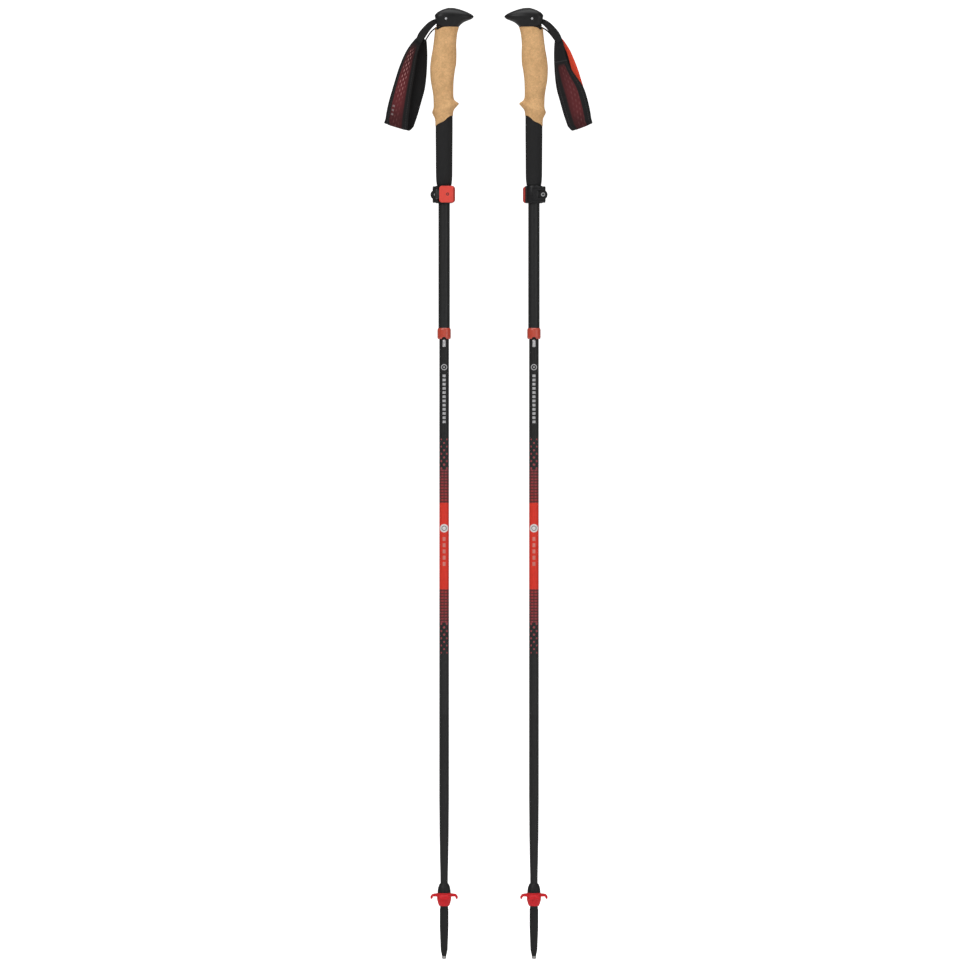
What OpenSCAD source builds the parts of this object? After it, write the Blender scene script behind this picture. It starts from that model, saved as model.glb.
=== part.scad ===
// A pair of three-section folding trekking poles, standing side by side on their tips.
// One set of modules draws a pole about its own upright axis, with the grip's beak towards +X.
// The left pole is moved to -X. The right pole is moved to +X, and everything above its
// shafts is turned half round, so that the two beaks face each other.

/* [Pair] */
// Distance between the two upright axes
pole_spacing = 118; // [110:1:160]
// Height of the pole from tip to crown, at full length
pole_h = 1250; // [1245:1:1255]

/* [Grip] */
// Height of the hard cap over the cork
cap_h = 25.5; // [25:0.1:26]
// Radius of the foam extension at its top
foam_r = 11.2; // [10.8:0.1:11.3]
// Height of the lower end of the foam
foam_bottom_z = 1016; // [1015.9:0.1:1018]
// Radius of the strap pin across the cap
strap_pin_r = 1.5; // [1.2:0.1:1.6]

/* [Strap] */
// Thickness of one layer of the padded strap
pad_t = 3; // [2:0.1:3]
// Distance between the two layers of the hand loop
loop_gap = 7; // [6:0.5:9]
// Height of the hand loop over its fold
loop_h = 92; // [80:1:94]
// Width of the webbing between the grip and the padded strap
webbing_w = 12; // [8:1:14]

/* [Lever clamp] */
// Height of the clamp's lower face
clamp_z = 993.2; // [993:0.1:994]
// Height of the clamp body
clamp_h = 22.6; // [22:0.1:23]
// Outer radius of the clamp body
clamp_r = 11.3; // [11:0.1:11.4]
// Radius of the lever's pivot pin
lever_pin_r = 1.4; // [1.2:0.1:1.5]

/* [Shafts] */
// Outer radius of the tube inside the grip
grip_tube_r = 8.7; // [8.6:0.05:8.7]
// Outer radius of the upper shaft
upper_r = 7.5; // [7.4:0.05:7.5]
// Outer radius of the slider, middle and lower shafts
shaft_r = 6.35; // [6.2:0.05:6.35]
// Wall of the slider, middle and lower shafts
shaft_wall = 1; // [0.8:0.1:1]
// Height of the joint between the slider and the middle section
upper_joint_z = 684.7; // [660:0.1:700]
// Height of the joint between the middle and the lower section
lower_joint_z = 321.3; // [300:0.1:340]
// Length of the spigot that stands up into the section above
spigot_l = 30; // [20:1:35]

/* [Tip] */
// Radius of the basket
basket_r = 18.2; // [16:0.1:25]
// Number of notches round the basket's rim
basket_notches = 4; // [4:1:8]
// Radius of each notch
notch_r = 8; // [3:0.1:9]
// Radius of the tip's straight shank
tip_r = 5.75; // [5.6:0.05:5.75]

/* [Hidden] */
$fn = 72;
fit_gap = 0.05;          // radial clearance of a running or bonded fit
loft_sides = 36;
loft_middle = 5;         // where a grip ring is widest, in front of the axis

cap_z = pole_h - cap_h;
pin_x = 2.5;
pin_z = pole_h - 15;
slot_low_z = pole_h - 23;
slot_high_z = pole_h - 11;
slot_half_w = webbing_w / 2 + 2.5;

grip_tube_low = 995;
grip_tube_high = pole_h - 29.5;
plug_low = grip_tube_high - 4;    // lower end of the cap's plug in the grip tube
grip_bore_r = upper_r + 0.1;

upper_low = 822;
upper_high = 1060;
upper_bore_r = 6.6;
collar_low = 814.6;
collar_high = 829;
collar_r = 8.9;
slider_high = 880;
bore_r = shaft_r - shaft_wall;
button_low = 803.8;
button_high = 813.8;
button_w = 4.6;
button_stand = 1.8;      // how far the button stands out of the slider

pin_at = [-9.5, -10.5];  // axis of the lever's pivot pin
boss_x = -12;
boss_z = clamp_z + 11;
lever_inner_r = clamp_r + 0.4;

taper_z = 209;
tip_seat_z = 72;
tip_shank_low = 42;
tip_shank_high = 66;
tip_core_r = 5.3;
basket_bore_r = tip_r + 0.25;
basket_high = 86.8;
basket_low = 69.6;

// ---- where the two poles stand ----

module left_pole() {
    translate([-pole_spacing / 2, 0, 0]) children();
}

module right_pole() {
    translate([pole_spacing / 2, 0, 0]) children();
}

module right_pole_turned() {
    right_pole() rotate([0, 0, 180]) children();
}

// ---- shapes that several pieces share ----

// One egg-shaped ring: height, reach in front of and behind the axis, and half width.
function egg_ring(station) = [
    for (i = [0:loft_sides - 1])
        let (turn = 360 * i / loft_sides)
        let (reach = cos(turn) > 0 ? station[1] - loft_middle : station[2] + loft_middle)
        [loft_middle + reach * cos(turn), station[3] * sin(turn), station[0]]
];

// A closed skin over a stack of egg-shaped rings, from the lowest to the highest.
module loft(stations) {
    count = len(stations);
    points = [for (station = stations) each egg_ring(station)];
    walls = [
        for (level = [0:count - 2], i = [0:loft_sides - 1])
            let (low = level * loft_sides, high = low + loft_sides, next = (i + 1) % loft_sides)
            [low + i, high + i, high + next, low + next]
    ];
    floor_face = [for (i = [0:loft_sides - 1]) i];
    top_face = [for (i = [loft_sides - 1:-1:0]) (count - 1) * loft_sides + i];
    polyhedron(points, concat([floor_face], walls, [top_face]));
}

// A straight tube between two heights.
module tube(outer_r, inner_r, low, high) {
    translate([0, 0, low]) difference() {
        cylinder(h = high - low, r = outer_r);
        translate([0, 0, -1]) cylinder(h = high - low + 2, r = inner_r);
    }
}

// A round bar along Y, centred on the XZ plane.
module bar_y(x, z, radius, length) {
    translate([x, length / 2, z]) rotate([90, 0, 0]) cylinder(h = length, r = radius);
}

// An outline drawn in X and Z, made thick along Y about the XZ plane.
module slab_y(outline, thickness) {
    translate([0, thickness / 2, 0]) rotate([90, 0, 0]) linear_extrude(height = thickness) polygon(outline);
}

// ---- the grip ----

// The small lobe of the cap that hangs behind the cork, under the strap slot.
module cap_lobe(clearance) {
    low = cap_z - 3.7 - clearance;
    translate([-9.4, -8 - clearance, low]) cube([4.9 + clearance, 16 + 2 * clearance, cap_z + 1 - low]);
}

module head_cap() {
    color("#2b2b2b") difference() {
        union() {
            loft([
                [cap_z, 19, 9.7, 12.6],
                [cap_z + 3.5, 22, 11, 13.2],
                [cap_z + 7.1, 27, 11.9, 13.7],
                [cap_z + 9.5, 33, 12.4, 14],
                [cap_z + 11.2, 37, 12.7, 14.2],
                [cap_z + 13.9, 38.9, 12.9, 14.2],
                [cap_z + 15.7, 37.6, 12.4, 13.9],
                [cap_z + 18.2, 34.1, 10.3, 13.1],
                [cap_z + 20.3, 30.4, 7.7, 11.9],
                [cap_z + 21.7, 27, 5.6, 10.7],
                [cap_z + 23.7, 21.2, 2, 8],
                [cap_z + 25, 15.5, -2.6, 4.2],
                [pole_h, 11, -4.4, 1.5]
            ]);
            cap_lobe(0);
            translate([0, 0, plug_low]) cylinder(h = cap_z + 1 - plug_low, r = grip_bore_r - fit_gap);
        }
        translate([-20, -slot_half_w, slot_low_z]) cube([26, 2 * slot_half_w, slot_high_z - slot_low_z]);
        bar_y(pin_x, pin_z, strap_pin_r + fit_gap, 60);
        for (side = [-1, 1]) translate([0, side * 21, 0]) bar_y(pin_x, pin_z, 3, 16);
    }
}

module strap_pin() {
    color("silver") bar_y(pin_x, pin_z, strap_pin_r, 25);
}

// The wedge that grips the webbing against the slot's floor, hung on the strap pin.
module strap_wedge() {
    color("#1c1c1c") difference() {
        union() {
            bar_y(pin_x, pin_z, 3.1, 2 * slot_half_w - 0.6);
            slab_y([
                [pin_x, pin_z - 3.1],
                [pin_x, pin_z + 3.1],
                [-9, pin_z - 3],
                [-9, slot_low_z + 2.6]
            ], 2 * slot_half_w - 0.6);
        }
        bar_y(pin_x, pin_z, strap_pin_r + fit_gap, 60);
    }
}

// Everything below the slanting S-shaped seam between the cork and the foam.
module below_seam() {
    seam = pole_h - 149;
    slab_y([
        [30, seam + 7.5], [9, seam + 6.5], [5, seam + 4.5], [1, seam + 0.3],
        [-5, seam - 2.7], [-30, seam - 10], [-30, seam - 120], [30, seam - 120]
    ], 60);
}

module cork_grip() {
    color("#cba579") difference() {
        loft([
            [pole_h - 158, 11.4, 11.6, 11.3],
            [pole_h - 147.5, 11.4, 11.8, 11.4],
            [pole_h - 142.2, 11.6, 13.8, 11.8],
            [pole_h - 138.3, 12, 15.2, 12.2],
            [pole_h - 134.3, 13.1, 14.6, 12.4],
            [pole_h - 131.7, 15.2, 14.3, 12.4],
            [pole_h - 126.4, 19.2, 13.9, 12.3],
            [pole_h - 124.4, 17.6, 13.9, 12.2],
            [pole_h - 121.2, 13.9, 13.9, 12],
            [pole_h - 116, 12.2, 14.3, 12],
            [pole_h - 108, 12.2, 15.5, 12.2],
            [pole_h - 103, 12.4, 16.6, 12.5],
            [pole_h - 95, 12.7, 17.7, 12.9],
            [pole_h - 82, 14.3, 18.4, 13.3],
            [pole_h - 74, 15.8, 18.1, 13.3],
            [pole_h - 63.4, 16.3, 16.7, 13.1],
            [pole_h - 55.5, 16.2, 15.2, 12.8],
            [pole_h - 47.6, 16, 14.1, 12.5],
            [pole_h - 34.4, 17.2, 12.6, 12.4],
            [cap_z, 19.6, 12.1, 12.6]
        ]);
        below_seam();
        cap_lobe(0.1);
        translate([0, 0, pole_h - 200]) cylinder(h = 250, r = grip_tube_r + fit_gap);
    }
}

module foam_extension() {
    high = pole_h - 138;
    color("#2a2a2a") intersection() {
        rotate_extrude() polygon([
            [grip_tube_r + fit_gap, foam_bottom_z], [9.5, foam_bottom_z], [10.2, foam_bottom_z + 4.5],
            [10.65, foam_bottom_z + 10], [10.85, foam_bottom_z + 19], [foam_r, foam_bottom_z + 73],
            [foam_r, high], [grip_tube_r + fit_gap, high]
        ]);
        below_seam();
    }
}

module grip_tube() {
    color("#3a3a3c") tube(grip_tube_r, grip_bore_r, grip_tube_low, grip_tube_high);
}

// ---- the wrist strap ----

// Outline of the hanging strap, seen from the side. Its points 7 and 8 are the folded lower edge.
function strap_outline(inner_shift) = [
    [-34.5, pole_h - 38], [-42.8, pole_h - 46], [-52, pole_h - 60.7], [-58.6, pole_h - 76.5],
    [-63.9, pole_h - 92.3], [-69.1, pole_h - 110.7], [-73.1, pole_h - 124], [-77.5, pole_h - 150.7],
    [-45.2 - inner_shift / 2, pole_h - 162.4], [-35 - inner_shift, pole_h - 138.3],
    [-29.7 - inner_shift, pole_h - 121.2], [-24.4 - inner_shift, pole_h - 101.5],
    [-21.8 - inner_shift, pole_h - 68.6], [-21.8 - inner_shift, pole_h - 46.3],
    [-25 - inner_shift / 2, pole_h - 40]
];

// The padded strap: two layers that fold over at the bottom and are sewn together at the top.
module strap_band(inner_shift) {
    outline = strap_outline(inner_shift);
    fold_r = loop_gap / 2 + pad_t;
    edge = outline[8] - outline[7];
    fold_tilt = atan2(-edge[1], edge[0]);
    color("#7d3234") intersection() {
        slab_y(outline, 2 * fold_r);
        // a long U, seen along the folded edge, whose bottom touches that edge
        translate([outline[7][0], 0, outline[7][1]]) rotate([0, fold_tilt, 0])
            translate([-40, 0, fold_r]) rotate([0, 90, 0]) linear_extrude(height = 130) difference() {
                union() {
                    circle(r = fold_r);
                    translate([-150, -fold_r]) square([150, 2 * fold_r]);
                }
                circle(r = loop_gap / 2);
                translate([-loop_h, -loop_gap / 2]) square([loop_h, loop_gap]);
            }
    }
}

// The two ends of webbing between the slot in the cap and the padded strap.
module strap_webbing() {
    color("#1a1a1a") {
        slab_y([
            [-16, pole_h - 16.8], [-24.2, pole_h - 23.4], [-34.3, pole_h - 37.8],
            [-29.5, pole_h - 39.1], [-22, pole_h - 27.4], [-16, pole_h - 21]
        ], webbing_w);
        slab_y([
            [-13, pole_h - 27.6], [-16.6, pole_h - 30.6], [-20.6, pole_h - 37.4], [-23.3, pole_h - 42.2],
            [-24.8, pole_h - 39.6], [-21.8, pole_h - 36.4], [-17.6, pole_h - 29.4], [-13, pole_h - 26.2]
        ], webbing_w);
    }
}

// ---- the lever clamp ----

module clamp_collar() {
    ear_h = 4.4;
    color("#232425") difference() {
        union() {
            translate([0, 0, clamp_z]) cylinder(h = clamp_h, r = clamp_r);
            translate([-15, -7, clamp_z + 0.8]) cube([10, 15, clamp_h - 1.6]);
            translate([0, 0.9, 0]) bar_y(boss_x, boss_z, 5.9, 15.8);
            for (z = [clamp_z + 0.8, clamp_z + clamp_h - 0.8 - ear_h]) translate([pin_at[0], pin_at[1], z]) {
                cylinder(h = ear_h, r = 2.6);
                translate([-2.6, 0, 0]) cube([5.2, 4, ear_h]);
            }
        }
        translate([0, 0, clamp_z - 1]) cylinder(h = clamp_h + 2, r = grip_bore_r);
        translate([0, 0, grip_tube_low]) cylinder(h = clamp_h, r = grip_tube_r + fit_gap);
        translate([pin_at[0], pin_at[1], clamp_z - 1]) cylinder(h = clamp_h + 2, r = lever_pin_r + fit_gap);
        bar_y(boss_x, boss_z, 1.6, 40);
        translate([0, 9, 0]) bar_y(boss_x, boss_z, 3, 4);
        translate([-20, -0.6, clamp_z - 1]) cube([12.8, 1.2, clamp_h + 2]);
    }
}

// The tension screw, with a hexagon socket in its head.
module clamp_screw() {
    color("silver") difference() {
        union() {
            bar_y(boss_x, boss_z, 1.5, 15);
            translate([0, 8.1, 0]) bar_y(boss_x, boss_z, 2.7, 2.2);
        }
        translate([boss_x, 9.4, boss_z]) rotate([90, 0, 0]) cylinder(h = 1.4, r = 1.4, $fn = 6);
    }
}

module lock_lever() {
    left = -6.5;
    right = 14.5;
    front = -14.6;
    corner = 6;
    mid = clamp_z + clamp_h / 2;
    eye_h = 11.4;
    color("#de4e44") difference() {
        union() {
            intersection() {
                // seen from above: a plate with a rounded end that wraps the shaft
                translate([0, 0, clamp_z - 1]) linear_extrude(height = clamp_h + 2) union() {
                    translate([left, front]) square([right - left - corner, 13.1]);
                    translate([left, front + corner]) square([right - left, 13.1 - corner]);
                    translate([right - corner, front + corner]) circle(r = corner);
                }
                // seen from the front: a square with round corners
                rotate([90, 0, 0]) linear_extrude(height = 40) union() {
                    translate([left + 4, clamp_z + 0.4]) square([right - left - 8, clamp_h - 0.8]);
                    translate([left, clamp_z + 4.4]) square([right - left, clamp_h - 8.8]);
                    for (x = [left + 4, right - 4], z = [clamp_z + 4.4, clamp_z + clamp_h - 4.4]) {
                        translate([x, z]) circle(r = 4);
                    }
                }
            }
            translate([pin_at[0], pin_at[1], mid - eye_h / 2]) {
                cylinder(h = eye_h, r = 2.7);
                translate([0, -2.7, 0]) cube([4.5, 4.2, eye_h]);
            }
        }
        translate([0, 0, clamp_z - 2]) cylinder(h = clamp_h + 4, r = lever_inner_r);
        translate([pin_at[0], pin_at[1], clamp_z - 1]) cylinder(h = clamp_h + 2, r = lever_pin_r + fit_gap);
    }
}

module lever_pin() {
    color("silver") translate([pin_at[0], pin_at[1], clamp_z + 1]) cylinder(h = clamp_h - 2, r = lever_pin_r);
}

// ---- the upper shaft and the slider ----

module upper_shaft() {
    color("#38393b") tube(upper_r, upper_bore_r, upper_low, upper_high);
}

// A plastic bush that closes the shaft's top and centres it in the grip tube.
module shaft_bush() {
    color("#1d1d1d") union() {
        translate([0, 0, upper_high]) cylinder(h = 6, r = grip_bore_r - fit_gap);
        translate([0, 0, upper_high - 4]) cylinder(h = 5, r = upper_bore_r - fit_gap);
    }
}

// The plug inside the upper shaft that holds the upper end of the tension cord.
module cord_anchor() {
    color("silver") union() {
        translate([0, 0, 1030]) cylinder(h = 20, r = upper_bore_r - fit_gap);
        translate([0, 0, 1002]) cylinder(h = 29, r = 2.4);
    }
}

module shaft_collar() {
    color("#c2442f") difference() {
        rotate_extrude() polygon([
            [shaft_r + fit_gap, collar_low], [7.9, collar_low], [8.6, collar_low + 0.9], [collar_r, collar_low + 2.4],
            [collar_r, collar_high - 2.6], [8.5, collar_high - 0.9], [7.8, collar_high],
            [upper_r, collar_high], [upper_r, upper_low], [shaft_r + fit_gap, upper_low]
        ]);
        // the arch over the release button
        translate([0, -10, 0]) bar_y(0, collar_low - 0.4, 3, 12);
    }
}

// A slot with round ends, cut or drawn along Y, between two heights on the shaft's -Y side.
module button_slot(width, low, high, y_from, y_to) {
    r = width / 2;
    translate([0, y_to, 0]) rotate([90, 0, 0]) linear_extrude(height = y_to - y_from) union() {
        translate([-r, low + r]) square([width, high - low - width]);
        translate([0, low + r]) circle(r = r);
        translate([0, high - r]) circle(r = r);
    }
}

module slider_tube() {
    color("#303133") difference() {
        tube(shaft_r, bore_r, upper_joint_z, slider_high);
        button_slot(button_w + 0.6, button_low - 0.3, button_high + 0.3, -10, -3);
    }
}

module slider_bush() {
    color("#1d1d1d") tube(upper_bore_r - fit_gap, shaft_r, slider_high - 20, slider_high);
}

// The spring-loaded button, on the steel leaf that pushes it out through the slider's wall.
module release_button() {
    color("silver") union() {
        button_slot(button_w, button_low, button_high, -shaft_r - button_stand, -4.1);
        translate([-2.2, -4.7, button_low - 16]) cube([4.4, 0.7, 25.4]);
    }
}

// ---- the folding sections ----

module middle_tube() {
    color("#303133") tube(shaft_r, bore_r, lower_joint_z, upper_joint_z);
}

// The metal spigot that is bonded into a section's top and stands up into the next one.
module spigot(joint_z) {
    color("silver") tube(bore_r - fit_gap, bore_r - 1, joint_z - 40, joint_z + spigot_l);
}

// The nylon nose on a spigot, which guides the sections together and lets the cord through.
module cone(joint_z) {
    seat = joint_z + spigot_l;
    color("#1d1d1d") rotate_extrude() polygon([
        [1.3, seat - 8], [bore_r - 1.1, seat - 8], [bore_r - 1.1, seat], [bore_r - fit_gap, seat],
        [bore_r - 0.3, seat + 5], [3.4, seat + 11], [2.4, seat + 13], [1.3, seat + 13]
    ]);
}

module tension_cord(low, high) {
    color("#8a8a8a") translate([0, 0, low]) cylinder(h = high - low, r = 1, $fn = 24);
}

module middle_cord() {
    tension_cord(lower_joint_z + 190, slider_high + 50);
}

module lower_cord() {
    tension_cord(tip_seat_z + 6, lower_joint_z + 180);
}

module lower_tube() {
    color("#303133") rotate_extrude() polygon([
        [3.6, tip_seat_z], [4.85, tip_seat_z], [4.95, 106], [5.05, 114], [5.45, 130], [5.7, 146],
        [6, 161], [6.1, 177], [6.2, 193], [shaft_r, taper_z], [shaft_r, lower_joint_z],
        [bore_r, lower_joint_z], [bore_r, taper_z], [5, 161], [4.3, 130], [3.6, 110]
    ]);
}

// ---- the tip ----

// The moulded tip: a flared hub that stops the basket, a shank through it that is a little
// thinner behind the basket, and a tapered end.
module tip_housing() {
    color("#262626") rotate_extrude() polygon([
        [0, 3.7], [2.9, 3.7], [3.5, 7], [4.6, 11.6], [tip_r, tip_shank_low], [tip_r, tip_shank_high],
        [tip_core_r, tip_shank_high], [tip_core_r, basket_high + 0.2],
        [8.7, basket_high + 0.2], [8.6, 90], [7.9, 94], [6.6, 97.6], [5.5, 99.2],
        [5, 99.2], [4.95, tip_seat_z], [0, tip_seat_z]
    ]);
}

module hard_tip() {
    color("silver") rotate_extrude() polygon([
        [0, 0.4], [1.4, 0.4], [2.2, 0], [2.9, 1.2], [2.9, 3.7], [0, 3.7]
    ]);
}

module basket() {
    color("#c73037") difference() {
        rotate_extrude() polygon([
            [basket_bore_r, basket_low], [6.6, basket_low], [8, basket_low + 3], [9.3, basket_low + 8],
            [9.5, basket_high - 4.6], [basket_r - 2.8, basket_high - 4.6], [basket_r - 1.2, basket_high - 8],
            [basket_r, basket_high - 7.4], [basket_r - 0.2, basket_high - 4.4], [basket_r - 2, basket_high - 1.8],
            [basket_r - 4, basket_high - 1.2], [9.6, basket_high - 0.6], [8.8, basket_high], [basket_bore_r, basket_high]
        ]);
        for (i = [0:basket_notches - 1]) rotate([0, 0, 360 * (i + 0.5) / basket_notches])
            translate([basket_r + 1.5, 0, basket_low - 1]) cylinder(h = 20, r = notch_r);
    }
}

// ---- the left pole ----

left_pole() head_cap();  // left_head_cap
left_pole() strap_pin();  // left_strap_pin
left_pole() strap_wedge();  // left_strap_wedge
left_pole() cork_grip();  // left_cork_grip
left_pole() foam_extension();  // left_foam_extension
left_pole() grip_tube();  // left_grip_tube
left_pole() clamp_collar();  // left_clamp_collar
left_pole() clamp_screw();  // left_clamp_screw
left_pole() lock_lever();  // left_lock_lever
left_pole() lever_pin();  // left_lever_pin
left_pole() strap_band(0);  // left_strap_band
left_pole() strap_webbing();  // left_strap_webbing
left_pole() upper_shaft();  // left_upper_shaft
left_pole() shaft_bush();  // left_shaft_bush
left_pole() cord_anchor();  // left_cord_anchor
left_pole() shaft_collar();  // left_shaft_collar
left_pole() slider_tube();  // left_slider_tube
left_pole() slider_bush();  // left_slider_bush
left_pole() release_button();  // left_release_button
left_pole() middle_tube();  // left_middle_tube
left_pole() spigot(upper_joint_z);  // left_middle_spigot
left_pole() cone(upper_joint_z);  // left_middle_cone
left_pole() middle_cord();  // left_middle_cord
left_pole() lower_tube();  // left_lower_tube
left_pole() spigot(lower_joint_z);  // left_lower_spigot
left_pole() cone(lower_joint_z);  // left_lower_cone
left_pole() lower_cord();  // left_lower_cord
left_pole() tip_housing();  // left_tip_housing
left_pole() hard_tip();  // left_hard_tip
left_pole() basket();  // left_basket

// ---- the right pole ----

right_pole_turned() head_cap();  // right_head_cap
right_pole_turned() strap_pin();  // right_strap_pin
right_pole_turned() strap_wedge();  // right_strap_wedge
right_pole_turned() cork_grip();  // right_cork_grip
right_pole_turned() foam_extension();  // right_foam_extension
right_pole_turned() grip_tube();  // right_grip_tube
right_pole_turned() clamp_collar();  // right_clamp_collar
right_pole_turned() clamp_screw();  // right_clamp_screw
right_pole_turned() lock_lever();  // right_lock_lever
right_pole_turned() lever_pin();  // right_lever_pin
right_pole_turned() strap_band(5);  // right_strap_band
right_pole_turned() strap_webbing();  // right_strap_webbing
right_pole() upper_shaft();  // right_upper_shaft
right_pole() shaft_bush();  // right_shaft_bush
right_pole() cord_anchor();  // right_cord_anchor
right_pole() shaft_collar();  // right_shaft_collar
right_pole() slider_tube();  // right_slider_tube
right_pole() slider_bush();  // right_slider_bush
right_pole() release_button();  // right_release_button
right_pole() middle_tube();  // right_middle_tube
right_pole() spigot(upper_joint_z);  // right_middle_spigot
right_pole() cone(upper_joint_z);  // right_middle_cone
right_pole() middle_cord();  // right_middle_cord
right_pole() lower_tube();  // right_lower_tube
right_pole() spigot(lower_joint_z);  // right_lower_spigot
right_pole() cone(lower_joint_z);  // right_lower_cone
right_pole() lower_cord();  // right_lower_cord
right_pole() tip_housing();  // right_tip_housing
right_pole() hard_tip();  // right_hard_tip
right_pole() basket();  // right_basket
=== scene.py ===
"""Finished look of a pair of folding trekking poles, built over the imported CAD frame.

The left pole's beak points to +X. The right pole's grip is the same grip turned half round.
Grip and strap shapes are drawn in millimetres about one pole's own axis, and then placed.
"""

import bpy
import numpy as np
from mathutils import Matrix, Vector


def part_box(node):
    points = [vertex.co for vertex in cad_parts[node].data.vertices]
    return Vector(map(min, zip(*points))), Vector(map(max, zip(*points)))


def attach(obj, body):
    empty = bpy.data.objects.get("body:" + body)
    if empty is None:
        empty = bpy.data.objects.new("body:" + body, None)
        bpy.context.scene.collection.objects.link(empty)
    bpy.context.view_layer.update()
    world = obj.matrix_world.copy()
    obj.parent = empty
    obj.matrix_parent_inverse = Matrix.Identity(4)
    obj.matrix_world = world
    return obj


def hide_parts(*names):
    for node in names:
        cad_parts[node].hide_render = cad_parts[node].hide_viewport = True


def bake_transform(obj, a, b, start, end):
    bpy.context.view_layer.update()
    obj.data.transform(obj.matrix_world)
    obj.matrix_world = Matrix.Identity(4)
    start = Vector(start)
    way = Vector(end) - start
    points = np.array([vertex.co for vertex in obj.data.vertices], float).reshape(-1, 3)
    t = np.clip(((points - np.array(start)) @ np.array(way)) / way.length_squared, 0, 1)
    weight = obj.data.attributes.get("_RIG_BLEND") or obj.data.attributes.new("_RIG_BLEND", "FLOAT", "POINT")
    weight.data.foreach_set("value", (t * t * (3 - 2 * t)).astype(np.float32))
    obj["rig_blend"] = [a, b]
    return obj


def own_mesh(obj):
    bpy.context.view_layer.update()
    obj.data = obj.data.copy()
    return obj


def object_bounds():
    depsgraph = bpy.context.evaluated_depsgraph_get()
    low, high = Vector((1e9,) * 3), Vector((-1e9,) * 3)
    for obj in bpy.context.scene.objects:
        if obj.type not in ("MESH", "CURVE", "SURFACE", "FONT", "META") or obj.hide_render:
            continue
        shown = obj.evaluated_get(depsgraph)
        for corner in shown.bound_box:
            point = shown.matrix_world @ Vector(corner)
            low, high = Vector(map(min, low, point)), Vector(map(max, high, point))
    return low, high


bl_info = {
    "name": "Trekking poles",
    "version": (1, 0, 0),
    "blender": (4, 5, 0),
    "location": "3D View > Sidebar > Poles",
    "description": "Builds the grips, straps, prints and studio of a pair of trekking poles",
    "category": "Object",
}

import math

import bmesh
import bpy
from bpy.props import FloatProperty, FloatVectorProperty, PointerProperty
from mathutils import Matrix, Vector

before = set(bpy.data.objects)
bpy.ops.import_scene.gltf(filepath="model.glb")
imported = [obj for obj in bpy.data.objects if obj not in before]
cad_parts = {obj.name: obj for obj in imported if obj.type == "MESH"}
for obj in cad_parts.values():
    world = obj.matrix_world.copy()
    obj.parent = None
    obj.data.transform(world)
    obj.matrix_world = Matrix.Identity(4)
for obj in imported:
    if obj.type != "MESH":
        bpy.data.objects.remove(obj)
CAD_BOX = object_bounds()

MM = 0.001
SIDES = ("left", "right")
CROWN = CAD_BOX[1].z / MM      # height of the pole's top, in mm
CAP_Z = CROWN - 25.5           # lower face of the hard cap
FOAM_LOW = CROWN - 234         # lower end of the foam
GRIP_BORE = 8.75               # radius of the hole through cork and foam
EGG_MIDDLE = 5                 # where a grip ring is widest, in front of the axis
SHAFT_R = 6.35


def pole_x(side):
    """Where the pole's upright axis stands along X, in metres."""
    low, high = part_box(f"{side}_lower_tube")
    return (low.x + high.x) / 2


AXIS_X = abs(pole_x("left"))


def place(side, turned=True):
    """Takes a pole's own millimetres to the row frame. Grips and straps turn on the right pole."""
    turn = math.pi if turned and side == "right" else 0.0
    return (
        Matrix.Translation((pole_x(side), 0, 0))
        @ Matrix.Rotation(turn, 4, "Z")
        @ Matrix.Scale(MM, 4)
    )


# ---------------------------------------------------------------- settings


class PoleSizes(bpy.types.PropertyGroup):
    """Sizes that a user may change."""

    pad_thickness: FloatProperty(
        name="Strap padding", description="Thickness of one layer of the padded strap, in mm",
        default=3.0, min=1.5, max=3.2,
    )
    webbing_width: FloatProperty(
        name="Webbing width", description="Width of the webbing between cap and strap, in mm",
        default=12.0, min=8.0, max=14.0,
    )
    cork_bump: FloatProperty(
        name="Cork relief", description="Depth of the cork's surface grain, in mm",
        default=0.25, min=0.0, max=1.0,
    )
    camera_distance: FloatProperty(
        name="Camera distance", description="Distance from the camera to the poles",
        default=8.0, min=2.0, max=10.0, unit="LENGTH",
    )
    field_width: FloatProperty(
        name="Field of view", description="Width of the view at the poles",
        default=1.2815, min=0.5, max=3.0, unit="LENGTH",
    )


def colour_setting(name, description, default):
    """A colour that a user may change, given in linear light."""
    return FloatVectorProperty(
        name=name, description=description, default=default, size=3, min=0.0, max=1.0, subtype="COLOR"
    )


class PoleColours(bpy.types.PropertyGroup):
    """Colours that a user may change."""

    cap: colour_setting("Cap", "Hard plastic of the cap", (0.0080, 0.0080, 0.0082))
    cork: colour_setting("Cork", "Main tone of the cork", (0.770, 0.470, 0.222))
    cork_dark: colour_setting("Dark cork", "Dark granules in the cork", (0.440, 0.225, 0.090))
    foam: colour_setting("Foam", "Foam under the cork", (0.0150, 0.0150, 0.0155))
    strap: colour_setting("Strap edge", "Binding and inner part of the strap", (0.0120, 0.0115, 0.0120))
    strap_panel: colour_setting("Strap panel", "Printed panel on the strap", (0.150, 0.020, 0.024))
    strap_scales: colour_setting("Strap scales", "Pale scales on the panel", (0.560, 0.250, 0.240))
    strap_lining: colour_setting("Strap lining", "Inner face of the strap", (0.950, 0.085, 0.040))
    shaft: colour_setting("Shaft", "Dark anodised shafts", (0.0150, 0.0152, 0.0156))
    lever: colour_setting("Lever", "Clamp levers", (0.850, 0.066, 0.044))
    collar: colour_setting("Collar", "Collars at the foot of the upper shafts", (0.580, 0.060, 0.028))
    print_red: colour_setting("Shaft print", "Printed band on the middle section", (0.780, 0.034, 0.016))
    basket: colour_setting("Basket", "Snow baskets", (0.720, 0.014, 0.022))
    tip: colour_setting("Tip", "Moulded tips", (0.0100, 0.0100, 0.0105))


# ---------------------------------------------------------------- curves


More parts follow.
